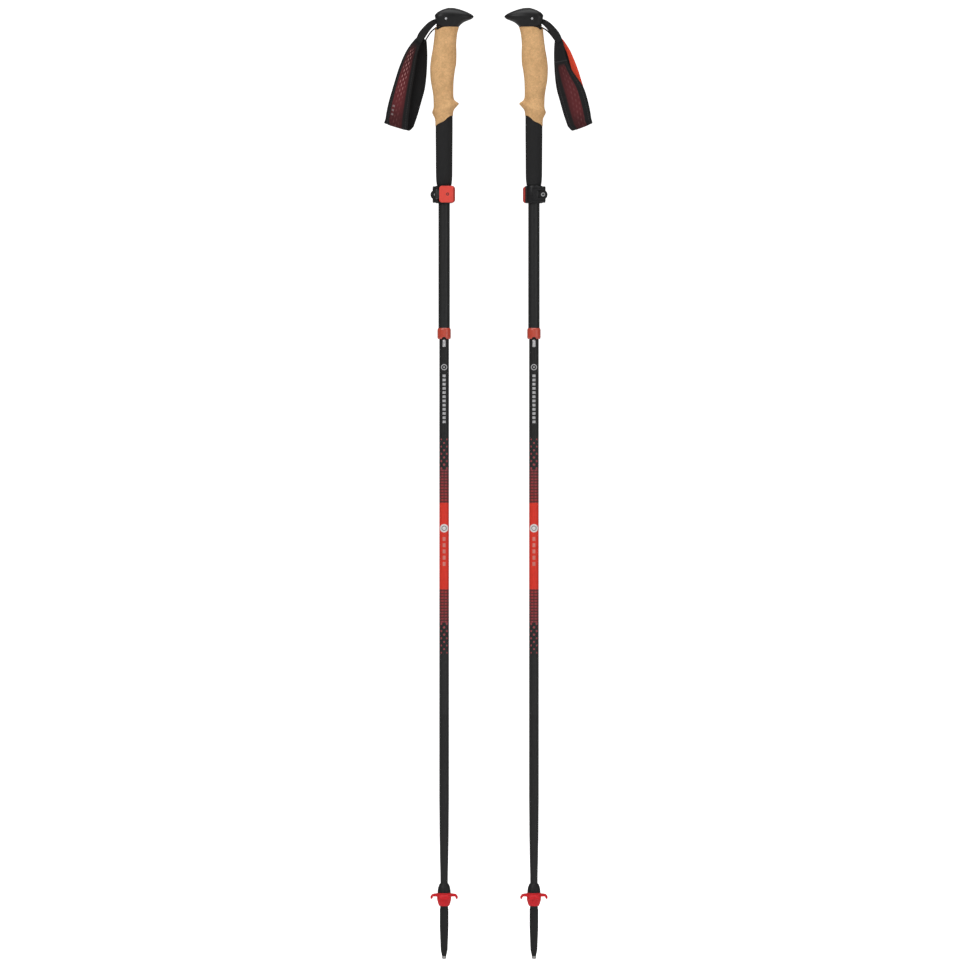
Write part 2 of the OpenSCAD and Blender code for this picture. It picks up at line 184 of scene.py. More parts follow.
def spline(stations, steps):
    """A smooth run through rows of numbers, with so many steps between one row and the next."""
    rows = [stations[0], *stations, stations[-1]]
    smooth = []
    for before, start, end, after in zip(rows, rows[1:], rows[2:], rows[3:]):
        for step in range(steps):
            t = step / steps
            smooth.append([
                b + t * ((c - a) / 2 + t * (a - 2.5 * b + 2 * c - d / 2 + t * (1.5 * (b - c) + (d - a) / 2)))
                for a, b, c, d in zip(before, start, end, after)
            ])
    smooth.append(list(stations[-1]))
    return smooth


def read(rows, key, column=1):
    """The value in a column where the first column reaches key, rows rising in that column."""
    if key <= rows[0][0]:
        return rows[0][column]
    for low, high in zip(rows, rows[1:]):
        if key <= high[0]:
            share = (key - low[0]) / (high[0] - low[0])
            return low[column] + share * (high[column] - low[column])
    return rows[-1][column]


def ease(value, start, end):
    """0 before start, 1 after end, and smooth between them."""
    t = min(max((value - start) / (end - start), 0.0), 1.0)
    return t * t * (3 - 2 * t)


def egg_point(turn, height, front, rear, half_width, rear_power=1.0):
    """A point on an egg-shaped ring that is widest a little in front of the axis. A rear power
    under 1 makes the rear half squarer."""
    along, across = math.cos(turn), math.sin(turn)
    if along > 0:
        return Vector((EGG_MIDDLE + (front - EGG_MIDDLE) * along, half_width * across, height))
    back = (rear + EGG_MIDDLE) * abs(along) ** rear_power
    return Vector((EGG_MIDDLE - back, half_width * math.copysign(abs(across) ** rear_power, across), height))


# ---------------------------------------------------------------- meshes


def skin(mesh, levels, sides, point, ends="cap"):
    """Grows a ring of so many sides up through the levels. point(level, share) places its corners,
    where share runs from 0 to 1 round the ring. The ends are capped or joined to each other."""
    share = mesh.verts.layers.float.new("share")
    height = mesh.verts.layers.float.new("height")
    ring = bmesh.ops.create_circle(mesh, cap_ends=False, radius=1, segments=sides)["verts"]
    edges = list(mesh.edges)
    first = list(edges)
    for number, corner in enumerate(ring):
        corner[share] = number / sides
    for number, level in enumerate(levels):
        if number:
            grown = bmesh.ops.extrude_edge_only(mesh, edges=edges)["geom"]
            ring = [part for part in grown if isinstance(part, bmesh.types.BMVert)]
            corners = set(ring)
            edges = [
                part for part in grown
                if isinstance(part, bmesh.types.BMEdge) and all(end in corners for end in part.verts)
            ]
        for corner in ring:
            corner[height] = number / (len(levels) - 1)
            corner.co = point(level, corner[share])
    if ends == "join":
        bmesh.ops.bridge_loops(mesh, edges=first + edges)
    else:
        bmesh.ops.holes_fill(mesh, edges=first + edges, sides=0)
    bmesh.ops.recalc_face_normals(mesh, faces=mesh.faces)


def new_piece(name, mesh, where, materials):
    """Makes an object of a mesh drawn in a pole's own millimetres, with its place in its mesh."""
    bmesh.ops.transform(mesh, matrix=where, verts=mesh.verts)
    for face in mesh.faces:
        face.smooth = True
    data = bpy.data.meshes.new(name)
    mesh.to_mesh(data)
    mesh.free()
    for material in materials:
        data.materials.append(material)
    piece = bpy.data.objects.new(name, data)
    bpy.context.scene.collection.objects.link(piece)
    return piece


def keep_modifiers(piece):
    """Turns a piece's modifiers into plain mesh."""
    bpy.context.view_layer.update()
    evaluated = piece.evaluated_get(bpy.context.evaluated_depsgraph_get())
    data = bpy.data.meshes.new_from_object(evaluated)
    old = piece.data
    piece.modifiers.clear()
    piece.data = data
    bpy.data.meshes.remove(old)


def sharpen(piece, degrees):
    """Keeps edges crisp where the surface turns by more than some degrees."""
    piece.data.set_sharp_from_angle(angle=math.radians(degrees))


# ---------------------------------------------------------------- shader building


def add_node(tree, kind, sockets=None, **options):
    """Adds a node, sets its options, and sets or links its input sockets."""
    node = tree.nodes.new(kind)
    for key, value in options.items():
        setattr(node, key, value)
    for key, value in (sockets or {}).items():
        if isinstance(value, bpy.types.NodeSocket):
            tree.links.new(value, node.inputs[key])
        else:
            node.inputs[key].default_value = value
    return node


def calc(tree, operation, *values):
    """The output of one Math node."""
    return add_node(tree, "ShaderNodeMath", dict(enumerate(values)), operation=operation).outputs[0]


def fade(tree, value, start, end, low=0.0, high=1.0):
    """Goes from low to high as a value goes from start to end, and stays there."""
    sockets = {"Value": value, "From Min": start, "From Max": end, "To Min": low, "To Max": high}
    return add_node(tree, "ShaderNodeMapRange", sockets).outputs["Result"]


def blend_colour(tree, share, first, second, blend_type="MIX"):
    """Mixes two colours."""
    node = add_node(tree, "ShaderNodeMix", data_type="RGBA", blend_type=blend_type)
    for place_in, value in ((0, share), (6, first), (7, second)):
        if isinstance(value, bpy.types.NodeSocket):
            tree.links.new(value, node.inputs[place_in])
        elif place_in == 0:
            node.inputs[0].default_value = value
        else:
            node.inputs[place_in].default_value = (*value[:3], 1.0)
    return node.outputs[2]


def object_place(tree):
    """Object coordinates in millimetres, as a vector and as its three numbers."""
    raw = add_node(tree, "ShaderNodeTexCoord").outputs["Object"]
    scaled = add_node(tree, "ShaderNodeVectorMath", {0: raw, "Scale": 1 / MM}, operation="SCALE")
    split = add_node(tree, "ShaderNodeSeparateXYZ", {0: scaled.outputs[0]})
    return scaled.outputs[0], split.outputs


def new_group(name, inputs, outputs):
    """An empty shader node group with named sockets, each (name, socket kind, default)."""
    group = bpy.data.node_groups.new(name, "ShaderNodeTree")
    for label, kind, default in inputs:
        made = group.interface.new_socket(name=label, in_out="INPUT", socket_type=f"NodeSocket{kind}")
        if default is not None:
            made.default_value = default
    for label, kind in outputs:
        group.interface.new_socket(name=label, in_out="OUTPUT", socket_type=f"NodeSocket{kind}")
    return group, group.nodes.new("NodeGroupInput").outputs, group.nodes.new("NodeGroupOutput").inputs


def grain_group():
    """Fine unevenness of a moulded or coated surface: a colour, a roughness and a height."""
    group, given, out = new_group(
        "Surface grain",
        [
            ("Vector", "Vector", None), ("Color", "Color", (0.1, 0.1, 0.1, 1.0)), ("Scale", "Float", 1.0),
            ("Roughness", "Float", 0.5), ("Spread", "Float", 0.1), ("Tone", "Float", 0.2),
        ],
        [("Color", "Color"), ("Roughness", "Float"), ("Height", "Float")],
    )
    fine = add_node(
        group, "ShaderNodeTexNoise",
        {"Vector": given["Vector"], "Scale": given["Scale"], "Detail": 5.0, "Roughness": 0.65},
    ).outputs["Fac"]
    broad_scale = calc(group, "MULTIPLY", given["Scale"], 0.08)
    broad = add_node(
        group, "ShaderNodeTexNoise", {"Vector": given["Vector"], "Scale": broad_scale, "Detail": 3.0}
    ).outputs["Fac"]
    tone = calc(group, "MULTIPLY_ADD", calc(group, "SUBTRACT", broad, 0.5), given["Tone"], 1.0)
    tone = calc(group, "MULTIPLY_ADD", calc(group, "SUBTRACT", fine, 0.5), given["Tone"], tone)
    grey = add_node(group, "ShaderNodeCombineXYZ", {0: tone, 1: tone, 2: tone}).outputs[0]
    colour = blend_colour(group, 1.0, given["Color"], grey, "MULTIPLY")
    rough = calc(group, "MULTIPLY_ADD", calc(group, "SUBTRACT", broad, 0.5), given["Spread"], given["Roughness"])
    group.links.new(colour, out["Color"])
    group.links.new(rough, out["Roughness"])
    group.links.new(fine, out["Height"])
    return group


def weave_group():
    """Plain weave: over and under threads across U and V, with a height and a shade."""
    group, given, out = new_group(
        "Plain weave",
        [("U", "Float", 0.0), ("V", "Float", 0.0), ("Thread", "Float", 0.6)],
        [("Height", "Float"), ("Shade", "Float")],
    )
    across = calc(group, "DIVIDE", given["U"], given["Thread"])
    along = calc(group, "DIVIDE", given["V"], given["Thread"])
    wave_u = calc(group, "ABSOLUTE", calc(group, "SINE", calc(group, "MULTIPLY", across, math.pi)))
    wave_v = calc(group, "ABSOLUTE", calc(group, "SINE", calc(group, "MULTIPLY", along, math.pi)))
    cell = calc(group, "ADD", calc(group, "FLOOR", across), calc(group, "FLOOR", along))
    over = calc(group, "ABSOLUTE", calc(group, "MODULO", cell, 2.0))
    under = calc(group, "SUBTRACT", 1.0, over)
    height = calc(group, "MULTIPLY_ADD", wave_u, over, calc(group, "MULTIPLY", wave_v, under))
    group.links.new(height, out["Height"])
    group.links.new(fade(group, height, 0.0, 1.0, 0.62, 1.1), out["Shade"])
    return group


def dots_group():
    """Staggered rows of five dots on a shaft: a mask from the angle round it and the height, in mm."""
    group, given, out = new_group(
        "Rows of dots",
        [("Angle", "Float", 0.0), ("Height", "Float", 0.0), ("Pitch", "Float", 4.7), ("Radius", "Float", 1.5)],
        [("Mask", "Float")],
    )
    row = calc(group, "DIVIDE", given["Height"], given["Pitch"])
    row_number = calc(group, "FLOOR", row)
    off_row = calc(group, "MULTIPLY", calc(group, "SUBTRACT", calc(group, "FRACT", row), 0.5), given["Pitch"])
    stagger = calc(group, "MULTIPLY", calc(group, "MODULO", row_number, 2.0), 0.5)
    turn = calc(group, "ADD", calc(group, "MULTIPLY_ADD", given["Angle"], 5 / math.tau, stagger), 8.5)
    off_dot = calc(group, "SUBTRACT", calc(group, "FRACT", turn), 0.5)
    arc = calc(group, "MULTIPLY", off_dot, SHAFT_R * math.tau / 5)
    far = calc(group, "SQRT", calc(group, "MULTIPLY_ADD", arc, arc, calc(group, "MULTIPLY", off_row, off_row)))
    edge = calc(group, "SUBTRACT", far, given["Radius"])
    group.links.new(fade(group, edge, -0.15, 0.15, 1.0, 0.0), out["Mask"])
    return group


def dashes_group():
    """A column of short plain bars up the shaft's -Y side: a mask from X, Y and the height, in mm."""
    group, given, out = new_group(
        "Column of bars",
        [
            ("X", "Float", 0.0), ("Y", "Float", 0.0), ("Height", "Float", 0.0), ("Low", "Float", 0.0),
            ("High", "Float", 1.0), ("Half width", "Float", 2.0), ("Pitch", "Float", 4.0),
        ],
        [("Mask", "Float")],
    )
    side = calc(group, "LESS_THAN", calc(group, "ABSOLUTE", given["X"]), given["Half width"])
    front = calc(group, "LESS_THAN", given["Y"], 0.0)
    above = calc(group, "GREATER_THAN", given["Height"], given["Low"])
    below = calc(group, "LESS_THAN", given["Height"], given["High"])
    place_in_pitch = calc(group, "FRACT", calc(group, "DIVIDE", given["Height"], given["Pitch"]))
    bar = calc(group, "LESS_THAN", place_in_pitch, 0.62)
    mask = calc(group, "MULTIPLY", calc(group, "MULTIPLY", side, front), calc(group, "MULTIPLY", above, below))
    group.links.new(calc(group, "MULTIPLY", mask, bar), out["Mask"])
    return group


GROUP_MAKERS = {
    "Surface grain": grain_group,
    "Plain weave": weave_group,
    "Rows of dots": dots_group,
    "Column of bars": dashes_group,
}


def use_group(tree, name, sockets):
    """Places a shared node group in a material, and makes it the first time."""
    group = bpy.data.node_groups.get(name) or GROUP_MAKERS[name]()
    return add_node(tree, "ShaderNodeGroup", sockets, node_tree=group).outputs


def start_material(name, metallic=0.0, specular=0.5):
    """A new material with an empty Principled shader. Returns it, its tree and the shader."""
    material = bpy.data.materials.new(f"{name}_finish")
    material.use_nodes = True
    tree = material.node_tree
    shader = tree.nodes["Principled BSDF"]
    shader.inputs["Metallic"].default_value = metallic
    shader.inputs["Specular IOR Level"].default_value = specular
    return material, tree, shader


def set_bump(tree, shader, height, distance, strength=1.0):
    """Raises the surface by a height of 0 to 1 times a distance in mm."""
    bump = add_node(
        tree, "ShaderNodeBump", {"Height": height, "Distance": distance * MM, "Strength": strength}
    )
    tree.links.new(bump.outputs[0], shader.inputs["Normal"])


def plain_finish(name, colour, scale=1.5, roughness=0.5, spread=0.1, tone=0.2, relief=0.03,
                 metallic=0.0, specular=0.5, stretch=(1.0, 1.0, 1.0), coat=0.0):
    """A moulded, coated or machined finish with fine grain, stretched along an axis if brushed."""
    material, tree, shader = start_material(name, metallic, specular)
    shader.inputs["Coat Weight"].default_value = coat
    shader.inputs["Coat Roughness"].default_value = 0.2
    vector = object_place(tree)[0]
    vector = add_node(tree, "ShaderNodeMapping", {"Vector": vector, "Scale": stretch}).outputs[0]
    grain = use_group(tree, "Surface grain", {
        "Vector": vector, "Color": (*colour, 1.0), "Scale": scale,
        "Roughness": roughness, "Spread": spread, "Tone": tone,
    })
    tree.links.new(grain["Color"], shader.inputs["Base Color"])
    tree.links.new(grain["Roughness"], shader.inputs["Roughness"])
    set_bump(tree, shader, grain["Height"], relief)
    return material


def cork_finish(colours, relief):
    """Pressed cork: pale granules, darker ones between them, fine pores and broad warm patches."""
    material, tree, shader = start_material("cork", specular=0.25)
    vector, _ = object_place(tree)
    warped = add_node(tree, "ShaderNodeTexNoise", {"Vector": vector, "Scale": 0.5, "Detail": 2.0})
    moved = add_node(
        tree, "ShaderNodeVectorMath",
        {0: warped.outputs["Color"], 1: (1.6, 1.6, 1.6), 2: vector}, operation="MULTIPLY_ADD",
    ).outputs[0]
    granule = add_node(tree, "ShaderNodeTexVoronoi", {"Vector": moved, "Scale": 0.42, "Randomness": 1.0})
    tone = add_node(tree, "ShaderNodeSeparateColor", {0: granule.outputs["Color"]}).outputs[0]
    broad = add_node(tree, "ShaderNodeTexNoise", {"Vector": vector, "Scale": 0.07, "Detail": 3.0}).outputs["Fac"]
    flecks = add_node(tree, "ShaderNodeTexNoise", {"Vector": vector, "Scale": 1.5, "Detail": 4.0}).outputs["Fac"]
    pale = tuple(min(part * 1.16, 1.0) for part in colours.cork)
    colour = blend_colour(tree, fade(tree, tone, 0.1, 0.95, 0.0, 0.75), colours.cork, pale)
    colour = blend_colour(tree, fade(tree, broad, 0.4, 0.75, 0.0, 0.4), colour, colours.cork_dark)
    colour = blend_colour(tree, fade(tree, flecks, 0.56, 0.7, 0.0, 0.6), colour, colours.cork_dark)
    edge = fade(tree, granule.outputs["Distance"], 0.55, 0.95, 0.0, 0.32)
    colour = blend_colour(tree, edge, colour, colours.cork_dark)
    tree.links.new(colour, shader.inputs["Base Color"])
    tree.links.new(fade(tree, flecks, 0.3, 0.7, 0.72, 0.9), shader.inputs["Roughness"])
    height = calc(tree, "MULTIPLY_ADD", granule.outputs["Distance"], -0.5, calc(tree, "SUBTRACT", 1.0, flecks))
    set_bump(tree, shader, height, relief)
    return material


def foam_finish(colours):
    """Closed-cell foam: matt, with tiny pores and a faint upright nap."""
    material, tree, shader = start_material("grip_foam", specular=0.3)
    vector, _ = object_place(tree)
    pores = add_node(tree, "ShaderNodeTexVoronoi", {"Vector": vector, "Scale": 2.2}).outputs["Distance"]
    upright = add_node(tree, "ShaderNodeMapping", {"Vector": vector, "Scale": (1.0, 1.0, 0.12)}).outputs[0]
    grain = use_group(tree, "Surface grain", {
        "Vector": upright, "Color": (*colours.foam, 1.0), "Scale": 1.2,
        "Roughness": 0.8, "Spread": 0.12, "Tone": 0.4,
    })
    tree.links.new(grain["Color"], shader.inputs["Base Color"])
    tree.links.new(grain["Roughness"], shader.inputs["Roughness"])
    set_bump(tree, shader, calc(tree, "MULTIPLY_ADD", pores, 0.8, grain["Height"]), 0.1)
    return material


def pole_place(tree):
    """Millimetres about the nearer pole's own axis: the vector, X, Y, Z and the angle from -Y."""
    vector, (x, y, z) = object_place(tree)
    x = calc(tree, "SUBTRACT", calc(tree, "ABSOLUTE", x), AXIS_X / MM)
    angle = calc(tree, "ARCTAN2", x, calc(tree, "MULTIPLY", y, -1.0))
    return vector, x, y, z, angle


def disc(tree, x, y, z, centre_z, radius):
    """A mask for a flat disc printed on the shaft's -Y side."""
    up = calc(tree, "SUBTRACT", z, centre_z)
    far = calc(tree, "SQRT", calc(tree, "MULTIPLY_ADD", x, x, calc(tree, "MULTIPLY", up, up)))
    inside = fade(tree, far, radius - 0.2, radius + 0.2, 1.0, 0.0)
    return calc(tree, "MULTIPLY", inside, calc(tree, "LESS_THAN", y, 0.0))


def anodised(tree, shader, colour, vector, roughness=0.42):
    """Dark anodised tube: fine lines round it and a small spread of gloss."""
    ring_lines = add_node(tree, "ShaderNodeMapping", {"Vector": vector, "Scale": (0.1, 0.1, 4.0)}).outputs[0]
    grain = use_group(tree, "Surface grain", {
        "Vector": ring_lines, "Color": colour, "Scale": 0.8,
        "Roughness": roughness, "Spread": 0.12, "Tone": 0.16,
    })
    tree.links.new(grain["Roughness"], shader.inputs["Roughness"])
    set_bump(tree, shader, grain["Height"], 0.012)
    return grain["Color"]


def slider_finish(colours):
    """The slider: dark, with a plain ring and a column of plain bars printed on its -Y side."""
    material, tree, shader = start_material("slider_print", metallic=0.25, specular=0.4)
    vector, x, y, z, _ = pole_place(tree)
    ring = calc(tree, "SUBTRACT", disc(tree, x, y, z, 777.5, 4.0), disc(tree, x, y, z, 777.5, 2.9))
    ring = calc(tree, "MAXIMUM", ring, disc(tree, x, y, z, 777.5, 1.1))
    bars = use_group(tree, "Column of bars", {
        "X": x, "Y": y, "Height": z, "Low": 704.0, "High": 769.9, "Half width": 2.0, "Pitch": 5.5,
    })["Mask"]
    colour = blend_colour(tree, calc(tree, "MAXIMUM", ring, bars), colours.shaft, (0.50, 0.50, 0.51))
    tree.links.new(anodised(tree, shader, colour, vector), shader.inputs["Base Color"])
    return material


def middle_finish(colours):
    """The middle section: a red band that breaks up into rows of dots towards both of its ends."""
    material, tree, shader = start_material("shaft_printed", metallic=0.1, specular=0.4)
    vector, x, y, z, angle = pole_place(tree)
    band_middle = 542.6
    away = calc(tree, "ABSOLUTE", calc(tree, "SUBTRACT", z, band_middle))
    solid = calc(tree, "LESS_THAN", away, 56.6)
    dot_size = fade(tree, away, 101.0, 143.0, 1.7, 1.1)
    dots = use_group(tree, "Rows of dots", {"Angle": angle, "Height": away, "Pitch": 4.75, "Radius": dot_size})
    loose = calc(tree, "MULTIPLY", calc(tree, "LESS_THAN", away, 143.5), dots["Mask"])
    loose = calc(tree, "MULTIPLY", loose, calc(tree, "GREATER_THAN", away, 100.5))
    stripe = calc(tree, "FRACT", calc(tree, "DIVIDE", away, 3.9))
    stripe = fade(tree, calc(tree, "ABSOLUTE", calc(tree, "SUBTRACT", stripe, 0.5)), 0.16, 0.3, 1.0, 0.0)
    column = calc(tree, "ABSOLUTE", calc(tree, "SINE", calc(tree, "MULTIPLY", angle, 4.0)))
    net = calc(tree, "MULTIPLY_ADD", calc(tree, "MULTIPLY", stripe, fade(tree, column, 0.2, 0.7)), 0.75, 0.25)
    net = calc(tree, "MULTIPLY", net, calc(tree, "LESS_THAN", away, 100.5))
    net_tone = blend_colour(tree, fade(tree, away, 56.6, 100.0), (0.46, 0.036, 0.034), (0.33, 0.045, 0.052))
    colour = blend_colour(tree, net, colours.shaft, net_tone)
    colour = blend_colour(tree, loose, colour, (0.330, 0.060, 0.068))
    colour = blend_colour(tree, solid, colour, colours.print_red)
    bars = use_group(tree, "Column of bars", {
        "X": x, "Y": y, "Height": z, "Low": 516.5, "High": 557.0, "Half width": 1.9, "Pitch": 8.2,
    })["Mask"]
    colour = blend_colour(tree, calc(tree, "MULTIPLY", bars, 0.7), colour, (0.68, 0.30, 0.26))
    colour = blend_colour(tree, disc(tree, x, y, z, 566.0, 5.5), colour, (0.80, 0.76, 0.75))
    ring = calc(tree, "SUBTRACT", disc(tree, x, y, z, 566.0, 3.4), disc(tree, x, y, z, 566.0, 2.4))
    colour = blend_colour(tree, ring, colour, (0.20, 0.19, 0.19))
    tree.links.new(anodised(tree, shader, colour, vector), shader.inputs["Base Color"])
    return material


def lever_finish(colours):
    """Red moulded lever with a small dark round mark on its face, and painted shade darkening the face towards its far
    edge.
    """
    material, tree, shader = start_material("lever_red", specular=0.5)
    vector, (x, y, z) = object_place(tree)
    side = calc(tree, "SIGN", x)
    own_x = calc(tree, "MULTIPLY", calc(tree, "SUBTRACT", calc(tree, "ABSOLUTE", x), AXIS_X / MM), -1.0)
    own_y = calc(tree, "MULTIPLY", calc(tree, "MULTIPLY", y, side), -1.0)
    mark_x = calc(tree, "SUBTRACT", own_x, 4.6)
    ring = calc(tree, "SUBTRACT", disc(tree, mark_x, own_y, z, 1004.5, 2.0), disc(tree, mark_x, own_y, z, 1004.5, 0.9))
    # painted shade: the face darkens to 0.55 of its red where it wraps round its far edge
    painted_edge_shade = fade(tree, own_x, 11.0, 13.8)
    colour = blend_colour(tree, painted_edge_shade, colours.lever, tuple(part * 0.55 for part in colours.lever))
    colour = blend_colour(tree, ring, colour, (0.10, 0.012, 0.012))
    colour = blend_colour(tree, calc(tree, "LESS_THAN", own_x, -6.2), colour, (0.014, 0.014, 0.015))
    grain = use_group(tree, "Surface grain", {
        "Vector": vector, "Color": colour, "Scale": 1.2, "Roughness": 0.36, "Spread": 0.15, "Tone": 0.12,
    })
    tree.links.new(grain["Color"], shader.inputs["Base Color"])
    tree.links.new(grain["Roughness"], shader.inputs["Roughness"])
    set_bump(tree, shader, calc(tree, "MULTIPLY_ADD", ring, -3.0, grain["Height"]), 0.05)
    return material


def strap_uv(tree):
    """The strap's own map: U across it from 0 to 1, V along it in mm."""
    split = add_node(tree, "ShaderNodeUVMap", uv_map="strap")
    parts = add_node(tree, "ShaderNodeSeparateXYZ", {0: split.outputs[0]}).outputs
    return parts[0], calc(tree, "MULTIPLY", parts[1], 1000.0)


def strap_finish(colours):
    """Outer face of the strap: dark binding, a burgundy panel with pale scales and painted light and shade, and
    stitching.
    """
    material, tree, shader = start_material("strap_padding", specular=0.25)
    u, v = strap_uv(tree)
    across = calc(tree, "MULTIPLY", u, 31.0)
    weave = use_group(tree, "Plain weave", {"U": across, "V": v, "Thread": 0.55})
    # the outer binding is wider on the back layer
    from_binding = calc(tree, "SUBTRACT", u, fade(tree, v, 118.0, 124.0, 0.0, 0.10))
    inside_u = calc(tree, "MULTIPLY", fade(tree, from_binding, 0.15, 0.18), fade(tree, u, 0.70, 0.76, 1.0, 0.0))
    inside_v = calc(tree, "MULTIPLY", fade(tree, v, 10.0, 22.0), fade(tree, v, 210.0, 215.0, 1.0, 0.0))
    panel = calc(tree, "MULTIPLY", inside_u, inside_v)
    # staggered scales that slant along the strap
    lane = calc(tree, "ADD", calc(tree, "DIVIDE", across, 3.6), calc(tree, "DIVIDE", v, 34.0))
    lane_number = calc(tree, "FLOOR", lane)
    step = calc(tree, "ADD", calc(tree, "DIVIDE", v, 7.6), calc(tree, "MULTIPLY", lane_number, 0.5))
    in_lane = calc(tree, "ABSOLUTE", calc(tree, "SUBTRACT", calc(tree, "FRACT", lane), 0.5))
    in_step = calc(tree, "ABSOLUTE", calc(tree, "SUBTRACT", calc(tree, "FRACT", step), 0.5))
    scale_edge = calc(tree, "ADD", calc(tree, "MULTIPLY", in_lane, 1.5), in_step)
    scales = fade(tree, scale_edge, 0.30, 0.42, 1.0, 0.0)
    middle = calc(tree, "MULTIPLY", fade(tree, u, 0.2, 0.34), fade(tree, u, 0.5, 0.66, 1.0, 0.0))
    spread = calc(tree, "MULTIPLY", middle, fade(tree, v, 62.0, 92.0, 1.0, 0.12))
    spread = calc(tree, "MULTIPLY", spread, fade(tree, v, 14.0, 24.0))
    scales = calc(tree, "MULTIPLY", scales, spread)
    # painted light and shade on the panel: darker near the front layer's sewn top, round the fold and towards the
    # inner edge, lighter on the flat of each layer
    painted_shade_panel = tuple(part * 0.28 for part in colours.strap_panel)
    painted_light = calc(tree, "MULTIPLY", fade(tree, v, 22.0, 66.0), fade(tree, v, 92.0, 112.0, 1.0, 0.25))
    painted_back_light = calc(tree, "MULTIPLY", fade(tree, v, 132.0, 150.0, 0.1, 0.8), fade(tree, v, 176.0, 204.0, 1.0, 0.5))
    painted_light = calc(tree, "MAXIMUM", painted_light, painted_back_light)
    painted_light = calc(tree, "MULTIPLY", painted_light, fade(tree, u, 0.52, 0.74, 1.0, 0.45))
    painted_light_and_shade_panel = blend_colour(tree, painted_light, painted_shade_panel, colours.strap_panel)
    colour = blend_colour(tree, panel, colours.strap, painted_light_and_shade_panel)
    colour = blend_colour(tree, calc(tree, "MULTIPLY", scales, panel), colour, colours.strap_scales)
    # a plain three-bar mark near the fold
    mark_v = calc(tree, "MULTIPLY", fade(tree, v, 96.0, 96.5), fade(tree, v, 112.0, 112.5, 1.0, 0.0))
    bar = calc(tree, "ABSOLUTE", calc(tree, "SUBTRACT", calc(tree, "FRACT", calc(tree, "DIVIDE", v, 5.6)), 0.5))
    bar = fade(tree, bar, 0.2, 0.26, 1.0, 0.0)
    mark_u = calc(tree, "MULTIPLY", fade(tree, u, 0.2, 0.21), fade(tree, u, 0.3, 0.31, 1.0, 0.0))
    mark = calc(tree, "MULTIPLY", calc(tree, "MULTIPLY", mark_u, bar), mark_v)
    colour = blend_colour(tree, calc(tree, "MULTIPLY", mark, 0.45), colour, (0.42, 0.36, 0.36))
    # stitching along both bindings
    stitch_gap = fade(tree, calc(tree, "FRACT", calc(tree, "DIVIDE", v, 3.2)), 0.68, 0.74, 1.0, 0.0)
    near = calc(tree, "MINIMUM", u, calc(tree, "SUBTRACT", 1.0, u))
    line = calc(tree, "ABSOLUTE", calc(tree, "SUBTRACT", near, 0.115))
    stitch = calc(tree, "MULTIPLY", fade(tree, line, 0.008, 0.014, 1.0, 0.0), stitch_gap)
    sewn = fade(tree, calc(tree, "ABSOLUTE", calc(tree, "SUBTRACT", v, 218.0)), 0.35, 0.6, 1.0, 0.0)
    stitch = calc(tree, "MAXIMUM", stitch, sewn)
    colour = blend_colour(tree, calc(tree, "MULTIPLY", stitch, 0.8), colour, (0.055, 0.052, 0.054))
    grey = add_node(tree, "ShaderNodeCombineXYZ", {0: weave["Shade"], 1: weave["Shade"], 2: weave["Shade"]})
    colour = blend_colour(tree, 1.0, colour, grey.outputs[0], "MULTIPLY")
    tree.links.new(colour, shader.inputs["Base Color"])
    tree.links.new(fade(tree, panel, 0.0, 1.0, 0.78, 0.62), shader.inputs["Roughness"])
    height = calc(tree, "MULTIPLY_ADD", stitch, 2.0, weave["Height"])
    height = calc(tree, "MULTIPLY_ADD", calc(tree, "MULTIPLY", scales, panel), 2.0, height)
    set_bump(tree, shader, height, 0.09)
    return material


def lining_finish(colours):
    """Inner face of the strap: a bright knitted lining."""
    material, tree, shader = start_material("strap_lining", specular=0.2)
    u, v = strap_uv(tree)
    weave = use_group(tree, "Plain weave", {"U": calc(tree, "MULTIPLY", u, 31.0), "V": v, "Thread": 0.9})
    grey = add_node(tree, "ShaderNodeCombineXYZ", {0: weave["Shade"], 1: weave["Shade"], 2: weave["Shade"]})
    plain = calc(tree, "MAXIMUM", fade(tree, u, 0.48, 0.52), fade(tree, v, 112.0, 118.0))
    colour = blend_colour(tree, plain, colours.strap_lining, colours.strap)
    colour = blend_colour(tree, 1.0, colour, grey.outputs[0], "MULTIPLY")
    tree.links.new(colour, shader.inputs["Base Color"])
    shader.inputs["Roughness"].default_value = 0.85
    set_bump(tree, shader, weave["Height"], 0.12)
    return material


def webbing_finish(colours):
    """Flat woven webbing, with ribs along its length."""
    material, tree, shader = start_material("webbing_black", specular=0.3)
    u, v = strap_uv(tree)
    weave = use_group(tree, "Plain weave", {"U": calc(tree, "MULTIPLY", u, 12.0), "V": v, "Thread": 0.75})
    grey = add_node(tree, "ShaderNodeCombineXYZ", {0: weave["Shade"], 1: weave["Shade"], 2: weave["Shade"]})
    colour = blend_colour(tree, 1.0, colours.strap, grey.outputs[0], "MULTIPLY")
    tree.links.new(colour, shader.inputs["Base Color"])
    shader.inputs["Roughness"].default_value = 0.7
    set_bump(tree, shader, weave["Height"], 0.15)
    return material


